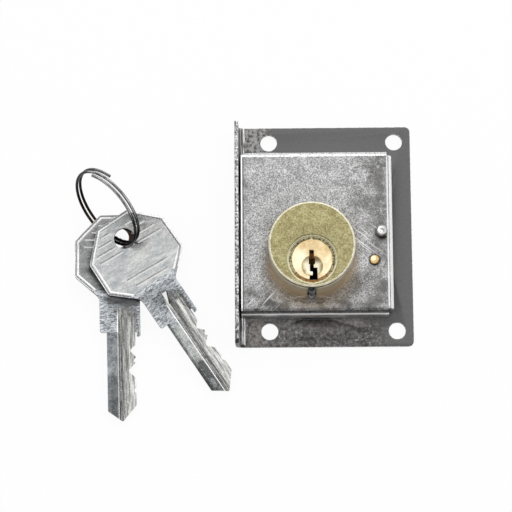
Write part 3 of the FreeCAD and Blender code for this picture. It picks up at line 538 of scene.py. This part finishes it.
def bent_steel():
    """The flange and its bend: streaks and painted shade lines along the fold, dark lower corners.
    """
    made = Finish("bent_steel", metallic=0.7, roughness=0.32)
    streak = made.noise(0.4, 3.0, 0.7, 0.2, made.mapped(stretch=(1, 14, 1)))
    fine = made.noise(0.4, 2.0)
    base = made.ramp(streak, (0.40, grey(0.08)), (0.49, grey(0.34)), (0.58, grey(0.85)))
    base = made.mix(made.span(fine, 0.56, 0.7, 0.0, 0.5), base, grey(0.85))
    across = made.math("ADD", made.part("X"), made.span(streak, 0.3, 0.7, -0.04, 0.04))
    # Painted shade lines in the bend.
    for left, right in ((-24.4, -24.2), (-23.6, -23.4)):
        base = made.mix(made.times(made.band(across, left, right), 0.85), base, grey(0.03))
    for middle, reach in (((-25.4, -29.5, 8.4), 1.0), ((-23.8, -29.4, 0.9), 0.9)):
        dark_spot = made.near(middle, reach)
        base = made.mix(made.span(dark_spot, 0.0, 0.3, 0.0, 0.95), base, grey(0.01))
    made.colour(base)
    made.bump(streak, 0.02, 0.4)
    return made.material


def faced_brass():
    """The plug's face: pale turned brass."""
    made = Finish("faced_brass", roughness=0.32)
    cloud = made.noise(3.2, 3.0, 0.55, 0.5)
    fine = made.noise(0.5, 2.0, 0.6)
    base = made.ramp(cloud, (0.38, (0.58, 0.43, 0.22)), (0.5, (0.74, 0.58, 0.34)),
                     (0.62, (0.86, 0.74, 0.50)))
    tan = made.near((PLUG[0] + 0.6, PLUG[1] + 4.2, PLUG_FACE), 4.0)
    base = made.mix(made.span(tan, 0.1, 0.8, 0.0, 0.6), base, (0.52, 0.38, 0.18))
    cream = made.near((PLUG[0] - 4.0, PLUG[1] - 0.5, PLUG_FACE), 4.5)
    base = made.mix(made.span(cream, 0.0, 0.7, 0.0, 0.7), base, (0.92, 0.85, 0.64))
    made.colour(made.mix(made.span(fine, 0.58, 0.7, 0.0, 0.3), base, (0.95, 0.88, 0.7)))
    made.bump(fine, 0.008, 0.3)
    return made.material


def bow_inset(made):
    """How far a place lies inside the straight sides of a bow, in millimetres."""
    across, along = made.math("ABSOLUTE", made.part("X")), made.part("Y")
    inset = 20.0
    corners = ((0, BOW_CORNERS[0][1]),) + BOW_CORNERS
    for (ax, ay), (bx, by) in zip(corners, corners[1:]):
        length = math.hypot(bx - ax, by - ay)
        over, up = (by - ay) / length, (ax - bx) / length
        here = made.math("MULTIPLY_ADD", across, over, -ax * over - ay * up)
        inset = made.math("MINIMUM", inset, made.math("MULTIPLY_ADD", along, up, here))
    return inset


def in_key(made, name):
    """Let a finish follow a key's own frame."""
    lie = made.add("ShaderNodeMapping", vector_type="TEXTURE")
    lie.inputs["Location"].default_value = key_frame(name).to_translation()
    lie.inputs["Rotation"].default_value = key_frame(name).to_euler("XYZ")
    made.join(made.coordinates, lie.inputs["Vector"])
    made.coordinates = lie.outputs["Vector"]


def drawn_streaks(made):
    """The streaks along the groove of a blade."""
    drawn = made.noise(0.42, 3.0, 0.7, 0.2, made.mapped(stretch=(1, 14, 1)))
    return made.ramp(drawn, (0.38, (0.20, 0.20, 0.19)), (0.48, (0.38, 0.385, 0.37)),
                     (0.59, (0.70, 0.70, 0.68)))


def rimmed_bow(made, fine, level):
    """The bow: pale plate with painted highlight and shade lines round its rim, lit on the sides
    towards the lower left and shaded on the others.
    """
    cloud = made.noise(1.8, 5.0, 0.7, 0.2, made.mapped(turn=LINE_TURN, stretch=(2.4, 1, 1)))
    stops = ((0.36, (0.30, 0.315, 0.325)), (0.5, (0.40, 0.41, 0.41)), (0.62, (0.54, 0.54, 0.525)))
    base = made.ramp(cloud, *((spot, tuple(level * part for part in tone))
                              for spot, tone in stops))
    rim = made.math("ADD", bow_inset(made), made.span(fine, 0.3, 0.7, -0.1, 0.1))
    rim = made.times(rim, 0.5)
    facing = made.math("MULTIPLY_ADD", made.part("X"), 0.5, made.part("Y"))
    facing = made.span(facing, -8.0, -4.0)
    shaded = made.ramp(rim, (0.0, grey(0.45)), (0.05, grey(0.75)), (0.20, grey(0.80)),
                       (0.26, grey(0.26)), (0.36, grey(0.07)), (0.43, grey(0.16)),
                       (0.48, grey(0.75)), (0.55, grey(0.60)), (0.60, grey(0.42)))
    lit = made.ramp(rim, (0.0, grey(0.85)), (0.10, grey(0.80)), (0.14, grey(0.10)),
                    (0.22, grey(0.16)), (0.28, grey(0.46)), (0.38, grey(0.50)),
                    (0.42, grey(0.92)), (0.54, grey(0.86)), (0.60, grey(0.42)))
    top_light_and_shade = made.ramp(rim, (0.0, grey(0.36)), (0.08, grey(0.20)), (0.24, grey(0.20)),
                     (0.31, grey(0.9)), (0.41, grey(0.8)), (0.48, grey(0.42)))
    # A painted highlight on the rim beside the start of the neck on the left.
    foot = made.ramp(rim, (0.0, grey(0.95)), (0.16, grey(0.90)), (0.22, grey(0.42)))
    shaded = made.mix(made.span(made.part("X"), 4.4, 5.2), top_light_and_shade, shaded)
    below = made.times(made.span(made.part("X"), -5.9, -5.1), made.axis("Y", -14, -15))
    lit = made.mix(below, lit, foot)
    on_rim = made.times(made.span(rim, 0.62, 0.56), made.span(cloud, 0.36, 0.52, 0.55, 1.0))
    return made.mix(on_rim, base, made.mix(facing, lit, shaded))


def stained_flat(made, cloud, front):
    """The smooth side of a blade, with a dark stain towards its tip."""
    cool = 1.0 if front else 1.07
    flat = made.ramp(cloud, (0.38, (0.26, 0.28, 0.29 * cool)), (0.5, (0.40, 0.42, 0.41 * cool)),
                     (0.6, (0.56, 0.57, 0.55 * cool)))
    if front:
        stain = made.near((-2.1, -42.5, 1.0), 6.0, (0.5, 1, 1))
        stain = made.math("SUBTRACT", stain, made.near((-1.9, -43.5, 1.0), 3.0, (0.4, 1, 1)))
    else:
        stain = made.near((-2.2, -44.0, 1.0), 9.0, (0.5, 1, 1))
    stain = made.times(stain, made.span(cloud, 0.42, 0.5, 0.5, 1.6))
    return made.mix(made.span(stain, 0.15, 0.25, 0.0, 0.85 if front else 0.45), flat,
                    (0.08, 0.085, 0.085))


def grooved(made, base, front):
    """The streaks in the groove, a painted highlight along the ridge beside it and painted shadow
    at the ridge's foot.
    """
    across, height = made.part("X"), made.part("Z")
    low = made.times(made.span(height, 0.93, 0.86), made.axis("Y", -17.6, -18.0))
    base = made.mix(low, base, drawn_streaks(made))
    # Painted highlight along the ridge.
    ridge = made.times(made.band(across, -0.78, -0.36, 0.05), made.span(height, 0.86, 0.92))
    ridge = made.times(ridge, made.axis("Y", -20.2 if front else -17.6, -21.0))
    base = made.mix(ridge, base, grey(0.97))
    # Painted shadow at the ridge's foot.
    beside = made.times(made.band(across, -0.42, -0.2, 0.04), made.axis("Y", -21.0, -22.0))
    return made.mix(made.times(beside, 0.8), base, grey(0.07))


def key_flash(made, base):
    """The white gleam at the start of the front key's groove, with a dark end."""
    across, along = made.part("X"), made.part("Y")
    slant = made.math("MULTIPLY_ADD", along, -0.37, across)
    flash = made.times(made.band(along, -20.7, -17.5), made.band(slant, 0, 8.1))
    flash = made.times(flash, made.span(across, -0.1, 0.05))
    tone = made.ramp(made.span(slant, 7.0, 8.2), (0.0, grey(0.97)), (0.56, grey(0.97)),
                     (0.64, grey(0.04)))
    made.join(made.span(flash, 0.0, 1.0, 1.0, 0.1), made.shader.inputs["Metallic"])
    return made.mix(flash, base, tone)


def key_shadows(made, base):
    """What the front key shades of the rear key: beside its hole and across its neck."""
    hidden = made.near((2.6, 1.3, 0.8), 3.6)
    base = made.mix(made.span(hidden, 0.0, 0.25), base, (0.03, 0.02, 0.015))
    for middle in ((-1.0, -16.4, 1.0), (3.4, -17.0, 1.0)):
        under = made.near(middle, 4.2, (1, 0.45, 1))
        base = made.mix(made.span(under, 0.0, 0.5, 0.0, 0.85), base, grey(0.05))
    return base


def tumbled_nickel(name):
    """A key: worn nickel plate, rimmed bow with painted light and shade, pebbly neck, smooth blade
    with a streaked groove and painted highlight and shadow beside it, a painted gleam on the front
    key and painted shadows on the rear key.
    """
    made = Finish("tumbled_" + name, roughness=0.3)
    in_key(made, name)
    front = name == "key_front"
    cloud = made.noise(1.7, 4.0, 0.7)
    fine = made.noise(0.36, 2.5, 0.6)
    pebble = made.noise(0.44, 2.5, 0.7, 1.0, made.mapped(turn=8, stretch=(2.4, 0.75, 1)))
    neck = made.ramp(pebble, (0.39, (0.11, 0.12, 0.13)), (0.48, (0.295, 0.315, 0.33)),
                     (0.58, (0.57, 0.59, 0.615)))
    edge = made.math("ADD", made.axis("Y", -13.4, -14.0), made.span(cloud, 0.3, 0.7, -0.2, 0.2))
    on_neck = made.span(edge, 0.35, 0.6)
    base = made.mix(on_neck, rimmed_bow(made, fine, 1.0 if front else 0.56), neck)
    edge = made.math("ADD", made.axis("Y", -25.0, -27.5), made.span(cloud, 0.35, 0.65, -0.4, 0.4))
    base = made.mix(made.span(edge, 0.3, 0.7), base, stained_flat(made, cloud, front))
    base = grooved(made, base, front)
    base = made.mix(made.span(fine, 0.58, 0.68, 0.0, 0.35), base, grey(0.88))
    base = made.mix(made.span(fine, 0.42, 0.32, 0.0, 0.35), base, (0.13, 0.14, 0.14))
    made.colour((key_flash if front else key_shadows)(made, base))
    made.rough(made.span(cloud, 0.3, 0.7, 0.24, 0.36))
    relief = made.math("MULTIPLY_ADD", pebble, on_neck, made.times(fine, 0.4))
    made.bump(relief, 0.05, 0.5)
    return made.material


def plain_metal(name, dark, light, size=0.8, roughness=0.3, metallic=1.0):
    """A small turned or drawn piece with a little tone in it."""
    made = Finish(name, metallic, roughness)
    cloud = made.noise(size, 3.0, 0.6)
    made.colour(made.ramp(cloud, (0.35, dark), (0.65, light)))
    made.bump(made.noise(size / 4, 2.0), 0.01, 0.4)
    return made.material


def head_light_and_shade(name, middle, radius, light, plain, dark):
    """The head of a stud or rivet: a painted highlight at the upper left and painted shade round
    the lower right.
    """
    made = Finish(name, 0.8, 0.28)
    speck = made.noise(0.45, 2.5, 0.6)
    slip = made.away(middle[0] - 0.28 * radius, middle[1] + 0.28 * radius)
    slip = made.math("ADD", slip, made.span(speck, 0.3, 0.7, -0.15, 0.15))
    slip = made.times(slip, 1 / (1.4 * radius))
    made.colour(made.ramp(slip, (0.15, light), (0.34, light), (0.45, plain), (0.72, plain),
                          (0.84, dark)))
    made.bump(speck, 0.02, 0.4)
    return made.material


def ribbed_steel():
    """The stud under the barrel: dark ribbed steel."""
    made = Finish("ribbed_steel", roughness=0.35)
    rib = made.noise(0.9, 1.0, 0.5, 0.0, made.mapped(stretch=(2.5, 4, 1)))
    made.colour(made.ramp(rib, (0.40, (0.010, 0.014, 0.016)), (0.5, (0.05, 0.06, 0.066)),
                          (0.6, (0.30, 0.34, 0.37))))
    made.bump(rib, 0.05, 0.5)
    return made.material


def ring_wire():
    """Wire painted bright on top and dark on its flanks as light and shade, and painted in shade
    where it dips under the keys.
    """
    made = Finish("ring_wire", roughness=0.24)
    parts = made.add("ShaderNodeSeparateXYZ")
    made.join(made.add("ShaderNodeTexCoord").outputs["Normal"], parts.inputs["Vector"])
    smear = made.span(made.noise(2.4, 1.0), 0.35, 0.65, -0.06, 0.06)
    up = made.math("ADD", parts.outputs["Z"], smear)
    # Painted light and shade by how far the wire faces up: dark flanks, bright top.
    base = made.ramp(up, (0.0, grey(0.012)), (0.55, grey(0.025)), (0.66, grey(0.10)),
                     (0.74, grey(0.50)), (0.84, grey(0.66)), (0.92, grey(0.18)),
                     (0.99, grey(0.10)))
    # Painted shade where the ring dips under the keys.
    made.colour(made.mix(made.axis("Z", 6.4, 5.6), base, (0.022, 0.014, 0.010)))
    return made.material


def dressed(name, body, slot, finishes, width, steps=2, paint=None, smooth=30):
    """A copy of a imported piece: its triangles merged, its edges eased, its finishes put on.

    The width of an eased edge is in millimetres, or a function of the edge's middle. The eased
    edges get the second finish. A paint function picks a finish by a face's middle and normal.
    """
    piece = bpy.data.objects.new(name + "_dressed", nodes[name].data.copy())
    bpy.context.collection.objects.link(piece)
    pick(piece)
    bpy.ops.object.mode_set(mode="EDIT")
    bpy.ops.mesh.select_all(action="SELECT")
    bpy.ops.mesh.remove_doubles(threshold=0.002 * MM)
    bpy.ops.mesh.dissolve_limited(angle_limit=math.radians(1))
    bpy.ops.mesh.select_all(action="DESELECT")
    bpy.ops.mesh.select_mode(type="EDGE")
    bpy.ops.mesh.edges_select_sharp(sharpness=math.radians(30))
    bpy.ops.object.mode_set(mode="OBJECT")
    mesh = piece.data
    mesh.materials.clear()
    for finish in finishes:
        mesh.materials.append(finish)
    for face in mesh.polygons:
        face.material_index = 0
    widths = []
    for edge in mesh.edges:
        middle = (mesh.vertices[edge.vertices[0]].co + mesh.vertices[edge.vertices[1]].co) / 2
        eased = width(middle) if callable(width) else width
        widths.append(eased if edge.select else 0.0)
    widest = max(widths)
    if widest:
        weights = mesh.attributes.new("bevel_weight_edge", "FLOAT", "EDGE")
        weights.data.foreach_set("value", [eased / widest for eased in widths])
        modify(piece, "BEVEL", width=widest * MM, segments=steps, limit_method="WEIGHT",
               miter_outer="MITER_ARC", material=1 if len(finishes) > 1 else 0)
    if paint:
        for face in mesh.polygons:
            choice = paint(face.center, face.normal)
            if choice is not None:
                face.material_index = choice
    pick(piece)
    bpy.ops.object.shade_smooth_by_angle(angle=math.radians(smooth))
    return place(piece, body, slot, name)


def plate_paint(middle, normal):
    """The front of the flange and the cut sides of the plate are sheared metal."""
    x, y, z = middle / MM
    if z > FLANGE_FRONT - 0.3 and normal.z > 0.7:
        return SHEARED
    on_side = x > PLATE_RIGHT - 0.05 or abs(y) > PLATE_HALF - 0.1
    if z < PLATE_FRONT and abs(normal.z) < 0.5 and on_side:
        return SHEARED
    if x < -21.9 and z > PLATE_FRONT / 2:
        return BENT
    return None


def case_paint(middle, normal):
    """The folds get painted highlight lines and painted shade lines, and the tab in the plate's
    slot is painted in shade.
    """
    x, y, z = middle / MM
    if z < PLATE_FRONT + 0.2 and y < -20.0 and abs(x - TAB_X) < 4.0:
        return SHADE
    if z > 6.9 and 0.05 < normal.z < 0.985:
        if normal.y < -0.1:
            if normal.y > -0.55:
                return ZINC
            return FOLD_SHADE if normal.y > -0.92 else FOLD_HIGHLIGHT_LINE
        if normal.x > 0.1:
            return ZINC if 0.42 < normal.x < 0.52 else FOLD_HIGHLIGHT_LINE
        return ZINC_FOLD_HIGHLIGHT
    if normal.y < -0.9:
        return ZINC_WALL
    return None


def from_axis(axis, x, y):
    return math.hypot(x - axis[0], y - axis[1])


def barrel_paint(middle, normal):
    """The rims of the barrel's face are painted bright as a highlight, and its wall is drawn brass
    with painted bands.
    """
    x, y, z = middle / MM
    if z > BARREL_FACE - 0.5 and 0.2 < normal.z < 0.98:
        return BRASS_EDGE_HIGHLIGHT
    on_wall = abs(normal.z) < 0.3 and from_axis(BARREL, x, y) > BARREL_RADIUS - 0.5
    return PAINTED_BAND_BRASS if z < BARREL_FACE - 0.2 and on_wall else None


def barrel_ease(middle):
    """The edge of the bore is eased more than the others."""
    x, y, z = middle / MM
    at_bore = z > BARREL_FACE - 0.1 and from_axis(BARREL, x, y) < BARREL_RADIUS - 0.8
    return 0.28 if at_bore else 0.07


def plug_paint(middle, normal):
    """The slope round the plug's face, the dish, and the walls of the keyway."""
    x, y, z = middle / MM
    reach = from_axis(PLUG, x, y)
    if reach < FACE_RADIUS + 0.5 and z > 9.0 and abs(normal.z) < 0.35:
        return KEYWAY
    if z > PLUG_FACE - 0.9 and reach > FACE_RADIUS - 0.05 and normal.z > 0.3:
        return SLOPE
    in_dish = from_axis(DISH, x, y) < DISH_RADIUS - 0.05
    return HOLLOW if z > PLUG_FACE - 1.2 and 0.3 < normal.z < 0.995 and in_dish else None


def key_dress(name):
    """The eased edges and the finishes of a key, by places in its own frame."""
    back = key_frame(name).inverted()

    def width(middle):
        x, y, z = back @ middle / MM
        if y > BOW_END:
            if math.hypot(x, y) < 3.2:
                return 0.2 if abs(z) > 0.75 else 0.05
            return 0.2 if abs(z) > 1.0 else 0.04
        if y > NECK_END:
            return 0.3 if (x < -3.9 or x > 4.6) and abs(z) > 0.9 else 0.08
        if y > NECK_END - 1.5 and x > 3.9:
            return 0.12
        return 0.16 if -0.9 < x < 0.1 else 0.1

    # Walls and eased edges that face down, and the walls of the holes, are painted in shade.
    def paint(middle, normal):
        x, y, _ = back @ middle / MM
        up = (back.to_3x3() @ normal).z
        reach = math.hypot(x, y)
        if up < 0.5 and reach < 3.0:
            return WALL_SHADE if name == "key_rear" or normal.y < 0.1 else None
        if up < 0.6 and normal.y < -0.3 and y > -24.0:
            return WALL_SHADE
        if 0.3 < up < 0.97:
            beside_neck = normal.y < -0.1 and -24.5 < y < -14.5 and x < -3.0
            below_bow = normal.y < -0.5 and y > -16.5 and reach > 4.0
            if beside_neck or below_bow:
                return WALL_SHADE
        return None

    return width, paint


def key_frame(name):
    """Where a key's own frame lies."""
    (x, y, z), heading, slope, roll = KEY_LIES[name]
    turn = Matrix.Rotation(math.radians(heading), 4, "Z")
    turn = turn @ Matrix.Rotation(math.radians(slope), 4, "X")
    turn = turn @ Matrix.Rotation(math.radians(roll), 4, "Y")
    return Matrix.Translation(mm(x, y, z)) @ turn


def bow_lines(name, lit, shaded):
    """The raised parallel lines beside the hole, on both faces of a bow: low ridges, painted lit
    on their lower slopes and ends and shaded on their upper slopes.
    """
    field = KEY_THICK / 2 - RIM_HIGH
    bars = []
    for side in (1, -1):
        for level, first, last in BOW_LINES:
            bpy.ops.mesh.primitive_cube_add(size=1, rotation=(math.pi / 4, 0, 0))
            bar = settle(bpy.context.object)
            bar.scale = mm(last - first, 0.5, 0.17)
            bar.rotation_euler = (0, 0, math.radians(LINE_TURN))
            bar.location = mm((first + last) / 2, level, side * field)
            settle(bar)
            bars.append(bar)
    pick(*bars)
    bpy.ops.object.join()
    lines = bpy.context.object
    lines.name = name + "_lines"
    lines.data.materials.append(lit)
    lines.data.materials.append(shaded)
    for face in lines.data.polygons:
        face.material_index = int(face.normal.y > 0.2)
    lines.matrix_world = key_frame(name)
    settle(lines)
    bpy.ops.object.shade_smooth_by_angle(angle=math.radians(20))
    return place(lines, name, "key_nickel")


def camera():
    """The photograph's view: a long lens almost straight above, a little from below the lock."""
    tilt, side, roll = (math.radians(turn) for turn in (CAMERA_TILT, CAMERA_SIDE, CAMERA_ROLL))
    away = Vector((math.sin(side), -math.sin(tilt) * math.cos(side),
                   math.cos(tilt) * math.cos(side)))
    away.normalize()
    right = Vector((0, 1, 0)).cross(away).normalized()
    up = away.cross(right)
    across = math.cos(roll) * right + math.sin(roll) * up
    over = math.cos(roll) * up - math.sin(roll) * right
    data = bpy.data.cameras.new("view")
    data.lens = CAMERA_LENS
    data.sensor_width = 36
    data.clip_start = 0.01
    data.clip_end = 20
    eye = bpy.data.objects.new("view", data)
    bpy.context.collection.objects.link(eye)
    turn = Matrix((across, over, away)).transposed().to_4x4()
    eye.matrix_world = Matrix.Translation(Vector(mm(*CAMERA_AIM)) + away * CAMERA_AWAY) @ turn
    bpy.context.scene.camera = eye


def lamp(name, at, size, radiance, aim=(-0.02, 0, 0)):
    """A soft box that shines towards the lock with an even brightness."""
    data = bpy.data.lights.new(name, "AREA")
    data.shape = "RECTANGLE"
    data.size, data.size_y = size
    data.energy = radiance * math.pi * size[0] * size[1]
    box = bpy.data.objects.new(name, data)
    bpy.context.collection.objects.link(box)
    away = (Vector(at) - Vector(aim)).normalized()
    box.matrix_world = Matrix.Translation(at) @ away.to_track_quat("Z", "Y").to_matrix().to_4x4()
    box.visible_camera = False
    return box


def lights():
    """Soft boxes overhead, behind the top of the lock, at each side and, weakly, in front."""
    lamp("overhead", (-0.03, 0.14, 0.6), (0.95, 0.75), 1.25)
    lamp("behind", (-0.02, 0.95, 0.5), (1.5, 0.75), 1.5)
    lamp("left_side", (-0.75, -0.32, 0.42), (0.75, 0.5), 1.2)
    lamp("right_side", (0.7, 0.0, 0.5), (0.8, 0.55), 1.4)
    lamp("front", (0.0, -0.75, 0.5), (1.0, 0.45), 0.45)
    world = bpy.data.worlds.new("studio")
    bpy.context.scene.world = world
    world.use_nodes = True
    tree = world.node_tree
    back = tree.nodes["Background"]
    rays = tree.nodes.new("ShaderNodeLightPath")
    level = tree.nodes.new("ShaderNodeMapRange")
    level.inputs["To Min"].default_value = 0.14
    level.inputs["To Max"].default_value = 1.0
    tree.links.new(rays.outputs["Is Camera Ray"], level.inputs["Value"])
    tree.links.new(level.outputs["Result"], back.inputs["Strength"])
    back.inputs["Color"].default_value = (1, 1, 1, 1)


def table():
    """The white table top, which doesn't glow where the lock and the keys cover it."""
    bpy.ops.mesh.primitive_plane_add(size=6, location=(0, 0, -0.0001))
    top = bpy.context.object
    top.name = "table"
    made = Finish("white_table", metallic=0.0, roughness=0.9)
    made.colour((0.95, 0.95, 0.95))
    made.shader.inputs["Specular IOR Level"].default_value = 0.1
    rays = made.add("ShaderNodeLightPath")
    under_keys = made.span(made.near((*KEYS_COVER, 0), 16.0), 0.0, 0.5, 1.0, 0.1)
    mirrored = made.math("MAXIMUM", rays.outputs["Is Glossy Ray"],
                         rays.outputs["Is Transmission Ray"])
    seen = made.math("MAXIMUM", rays.outputs["Is Camera Ray"], made.times(mirrored, under_keys))
    across, along = (made.times(made.math("ABSOLUTE", made.part(letter)), 1 / half)
                     for letter, half in zip("XY", LOCK_COVERS))
    seen = made.times(seen, made.math("GREATER_THAN", made.math("MAXIMUM", across, along), 1.0))
    for x, y in COIL_GAPS:
        seen = made.times(seen, made.span(made.near((x, y, 0), 1.0), 0.0, 0.15, 1.0, 0.0))
    glow = made.add("ShaderNodeEmission")
    glow.inputs["Color"].default_value = (1, 1, 1, 1)
    blend = made.add("ShaderNodeMixShader")
    made.join(made.times(seen, 0.93), blend.inputs["Fac"])
    made.join(made.shader.outputs["BSDF"], blend.inputs[1])
    made.join(glow.outputs["Emission"], blend.inputs[2])
    made.join(blend.outputs["Shader"], made.tree.nodes["Material Output"].inputs["Surface"])
    top.data.materials.append(made.material)


def pin_spring(number, finish):
    """The coil spring over a driver pin."""
    wire, radius, turns = 0.15, 0.75, 6
    low, high = PLUG[1] + 8.9 + wire, PLUG[1] + 13.5 - wire
    bpy.ops.mesh.primitive_circle_add(vertices=8, radius=wire * MM, location=mm(radius, 0, 0),
                                      rotation=(math.pi / 2, 0, 0), fill_type="NGON")
    coil = bpy.context.object
    coil.name = "pin_coil_%d" % number
    settle(coil)
    modify(coil, "SCREW", axis="Z", angle=2 * math.pi, screw_offset=(high - low) / turns * MM,
           iterations=turns, steps=18, render_steps=18, use_merge_vertices=True,
           merge_threshold=0.01 * MM)
    pick(coil)
    coil.rotation_euler = (-math.pi / 2, 0, 0)
    coil.location = mm(BARREL[0], low, PIN_PLACES[number - 1])
    settle(coil)
    bpy.ops.object.mode_set(mode="EDIT")
    bpy.ops.mesh.select_all(action="SELECT")
    bpy.ops.mesh.normals_make_consistent(inside=False)
    bpy.ops.object.mode_set(mode="OBJECT")
    coil.data.materials.append(finish)
    bpy.ops.object.shade_smooth_by_angle(angle=math.radians(50))
    place(coil, "lock", "spring_steel", "pin_spring_%d" % number)
    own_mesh(coil)


def cover_with(finish, *names):
    """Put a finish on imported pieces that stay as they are."""
    for name in names:
        slots = nodes[name].data.materials
        slots.clear()
        slots.append(finish)


zinc = grained_zinc("grained_zinc", 1.0)
zinc_wall = grained_zinc("zinc_wall", 0.35)
# Painted highlight lines for the case's folds, hardly metallic.
fold_highlight_line = plain_metal("fold_highlight_line", grey(0.85), grey(0.98), 0.8, 0.4, metallic=0.1)
zinc_edge = bright_edge("zinc_edge", (0.8, 0.8, 0.79))
zinc_fold_highlight = fold_highlight_zinc()
sheet = rolled_steel()
sheared = sheared_edge()
bent_sheet = bent_steel()
brass = aged_brass()
# Painted highlight for the eased rims of the barrel's face: pale and hardly metallic.
brass_edge_highlight = plain_metal("brass_edge_highlight", (0.72, 0.66, 0.44), (0.97, 0.94, 0.78), 1.0, 0.35,
                         metallic=0.25)
painted_band_brass = barrel_wall()
plug_face = faced_brass()
plug_edge = bright_edge("plug_edge", (0.92, 0.78, 0.5))
plug_slope = slope_brass()
plug_dish_sheen = dish_wear_and_sheen()
keyway = keyway_shade()
nickel_edge = bright_edge("nickel_edge", (0.86, 0.87, 0.86))
# Painted highlight for the lower slopes of the bows' ridges.
lit_ridge = plain_metal("lit_ridge", grey(0.9), grey(0.98), 0.6, 0.5, metallic=0.05)
line_shade = plain_metal("line_shade", grey(0.14), grey(0.38), 0.6, 0.4, metallic=0.5)
wall_shade = plain_metal("wall_shade", (0.008, 0.006, 0.005), (0.03, 0.025, 0.02), 0.6, 0.5,
                         metallic=0.2)
shade = plain_metal("shade", grey(0.01), grey(0.03), 0.6, 0.5)
fold_shade = plain_metal("fold_shade", grey(0.07), grey(0.16), 0.6, 0.4)
spring_wire = plain_metal("spring_wire", grey(0.35), grey(0.6))
pin_metal = plain_metal("pin_metal", (0.55, 0.42, 0.2), (0.75, 0.6, 0.33))
key_pin_metal = plain_metal("key_pin_metal", (0.95, 0.42, 0.10), (1.0, 0.58, 0.18),
                            metallic=0.05)
hook_metal = plain_metal("hook_metal", grey(0.3), grey(0.5), 1.5, 0.35)
nut_metal = plain_metal("nut_metal", grey(0.32), grey(0.5), 1.2, 0.35)
stud_metal = head_light_and_shade("stud_metal", STUD, 1.25, (0.88, 0.78, 0.54), (0.60, 0.43, 0.19),
                       (0.16, 0.09, 0.03))
rivet_metal = head_light_and_shade("rivet_metal", RIVET, 1.6, grey(0.90), grey(0.50), grey(0.07))
grey_pin = ribbed_steel()
ring_metal = ring_wire()

dressed("back_plate", "lock", "plate_steel", (sheet, sheared, bent_sheet), 0.12, paint=plate_paint)
dressed("case_cover", "lock", "case_steel",
        (zinc, zinc_edge, zinc_fold_highlight, shade, fold_shade, fold_highlight_line, zinc_wall), 0.1,
        paint=case_paint)
dressed("cylinder_housing", "lock", "barrel_brass", (brass, brass_edge_highlight, painted_band_brass), barrel_ease,
        paint=barrel_paint)
dressed("housing_nut", "lock", "nut_steel", (nut_metal,), 0.12)
dressed("chamber_cap", "lock", "pin_brass", (pin_metal,), 0.06)
dressed("barrel_lock_pin", "lock", "lock_pin_steel", (grey_pin,), 0.04)
dressed("plug", "plug", "plug_brass", (plug_face, plug_edge, plug_slope, plug_dish_sheen, keyway),
        0.06, paint=plug_paint)
dressed("plug_clip", "plug", "spring_steel", (spring_wire,), 0.06)
dressed("hook_bolt", "plug", "hook_steel", (hook_metal,), 0.15)
dressed("brass_stud", "lock", "stud_brass", (stud_metal,), 0.3, 4)
dressed("case_rivet", "lock", "rivet_steel", (rivet_metal,), 0.22, 3)
for key in ("key_front", "key_rear"):
    edge_width, face_paint = key_dress(key)
    dressed(key, key, "key_nickel", (tumbled_nickel(key), nickel_edge, wall_shade), edge_width,
            paint=face_paint)
    bow_lines(key, lit_ridge, line_shade)
for number in range(1, 6):
    pin_spring(number, spring_wire)
    cover_with(key_pin_metal, "key_pin_%d" % number)
    cover_with(pin_metal, "driver_pin_%d" % number)
cover_with(spring_wire, "detent_spring")
dressed("key_ring", "key_ring", "ring_steel", (ring_metal,), 0.0, smooth=60)

table()
lights()
camera()
bpy.context.scene.view_settings.view_transform = "Standard"
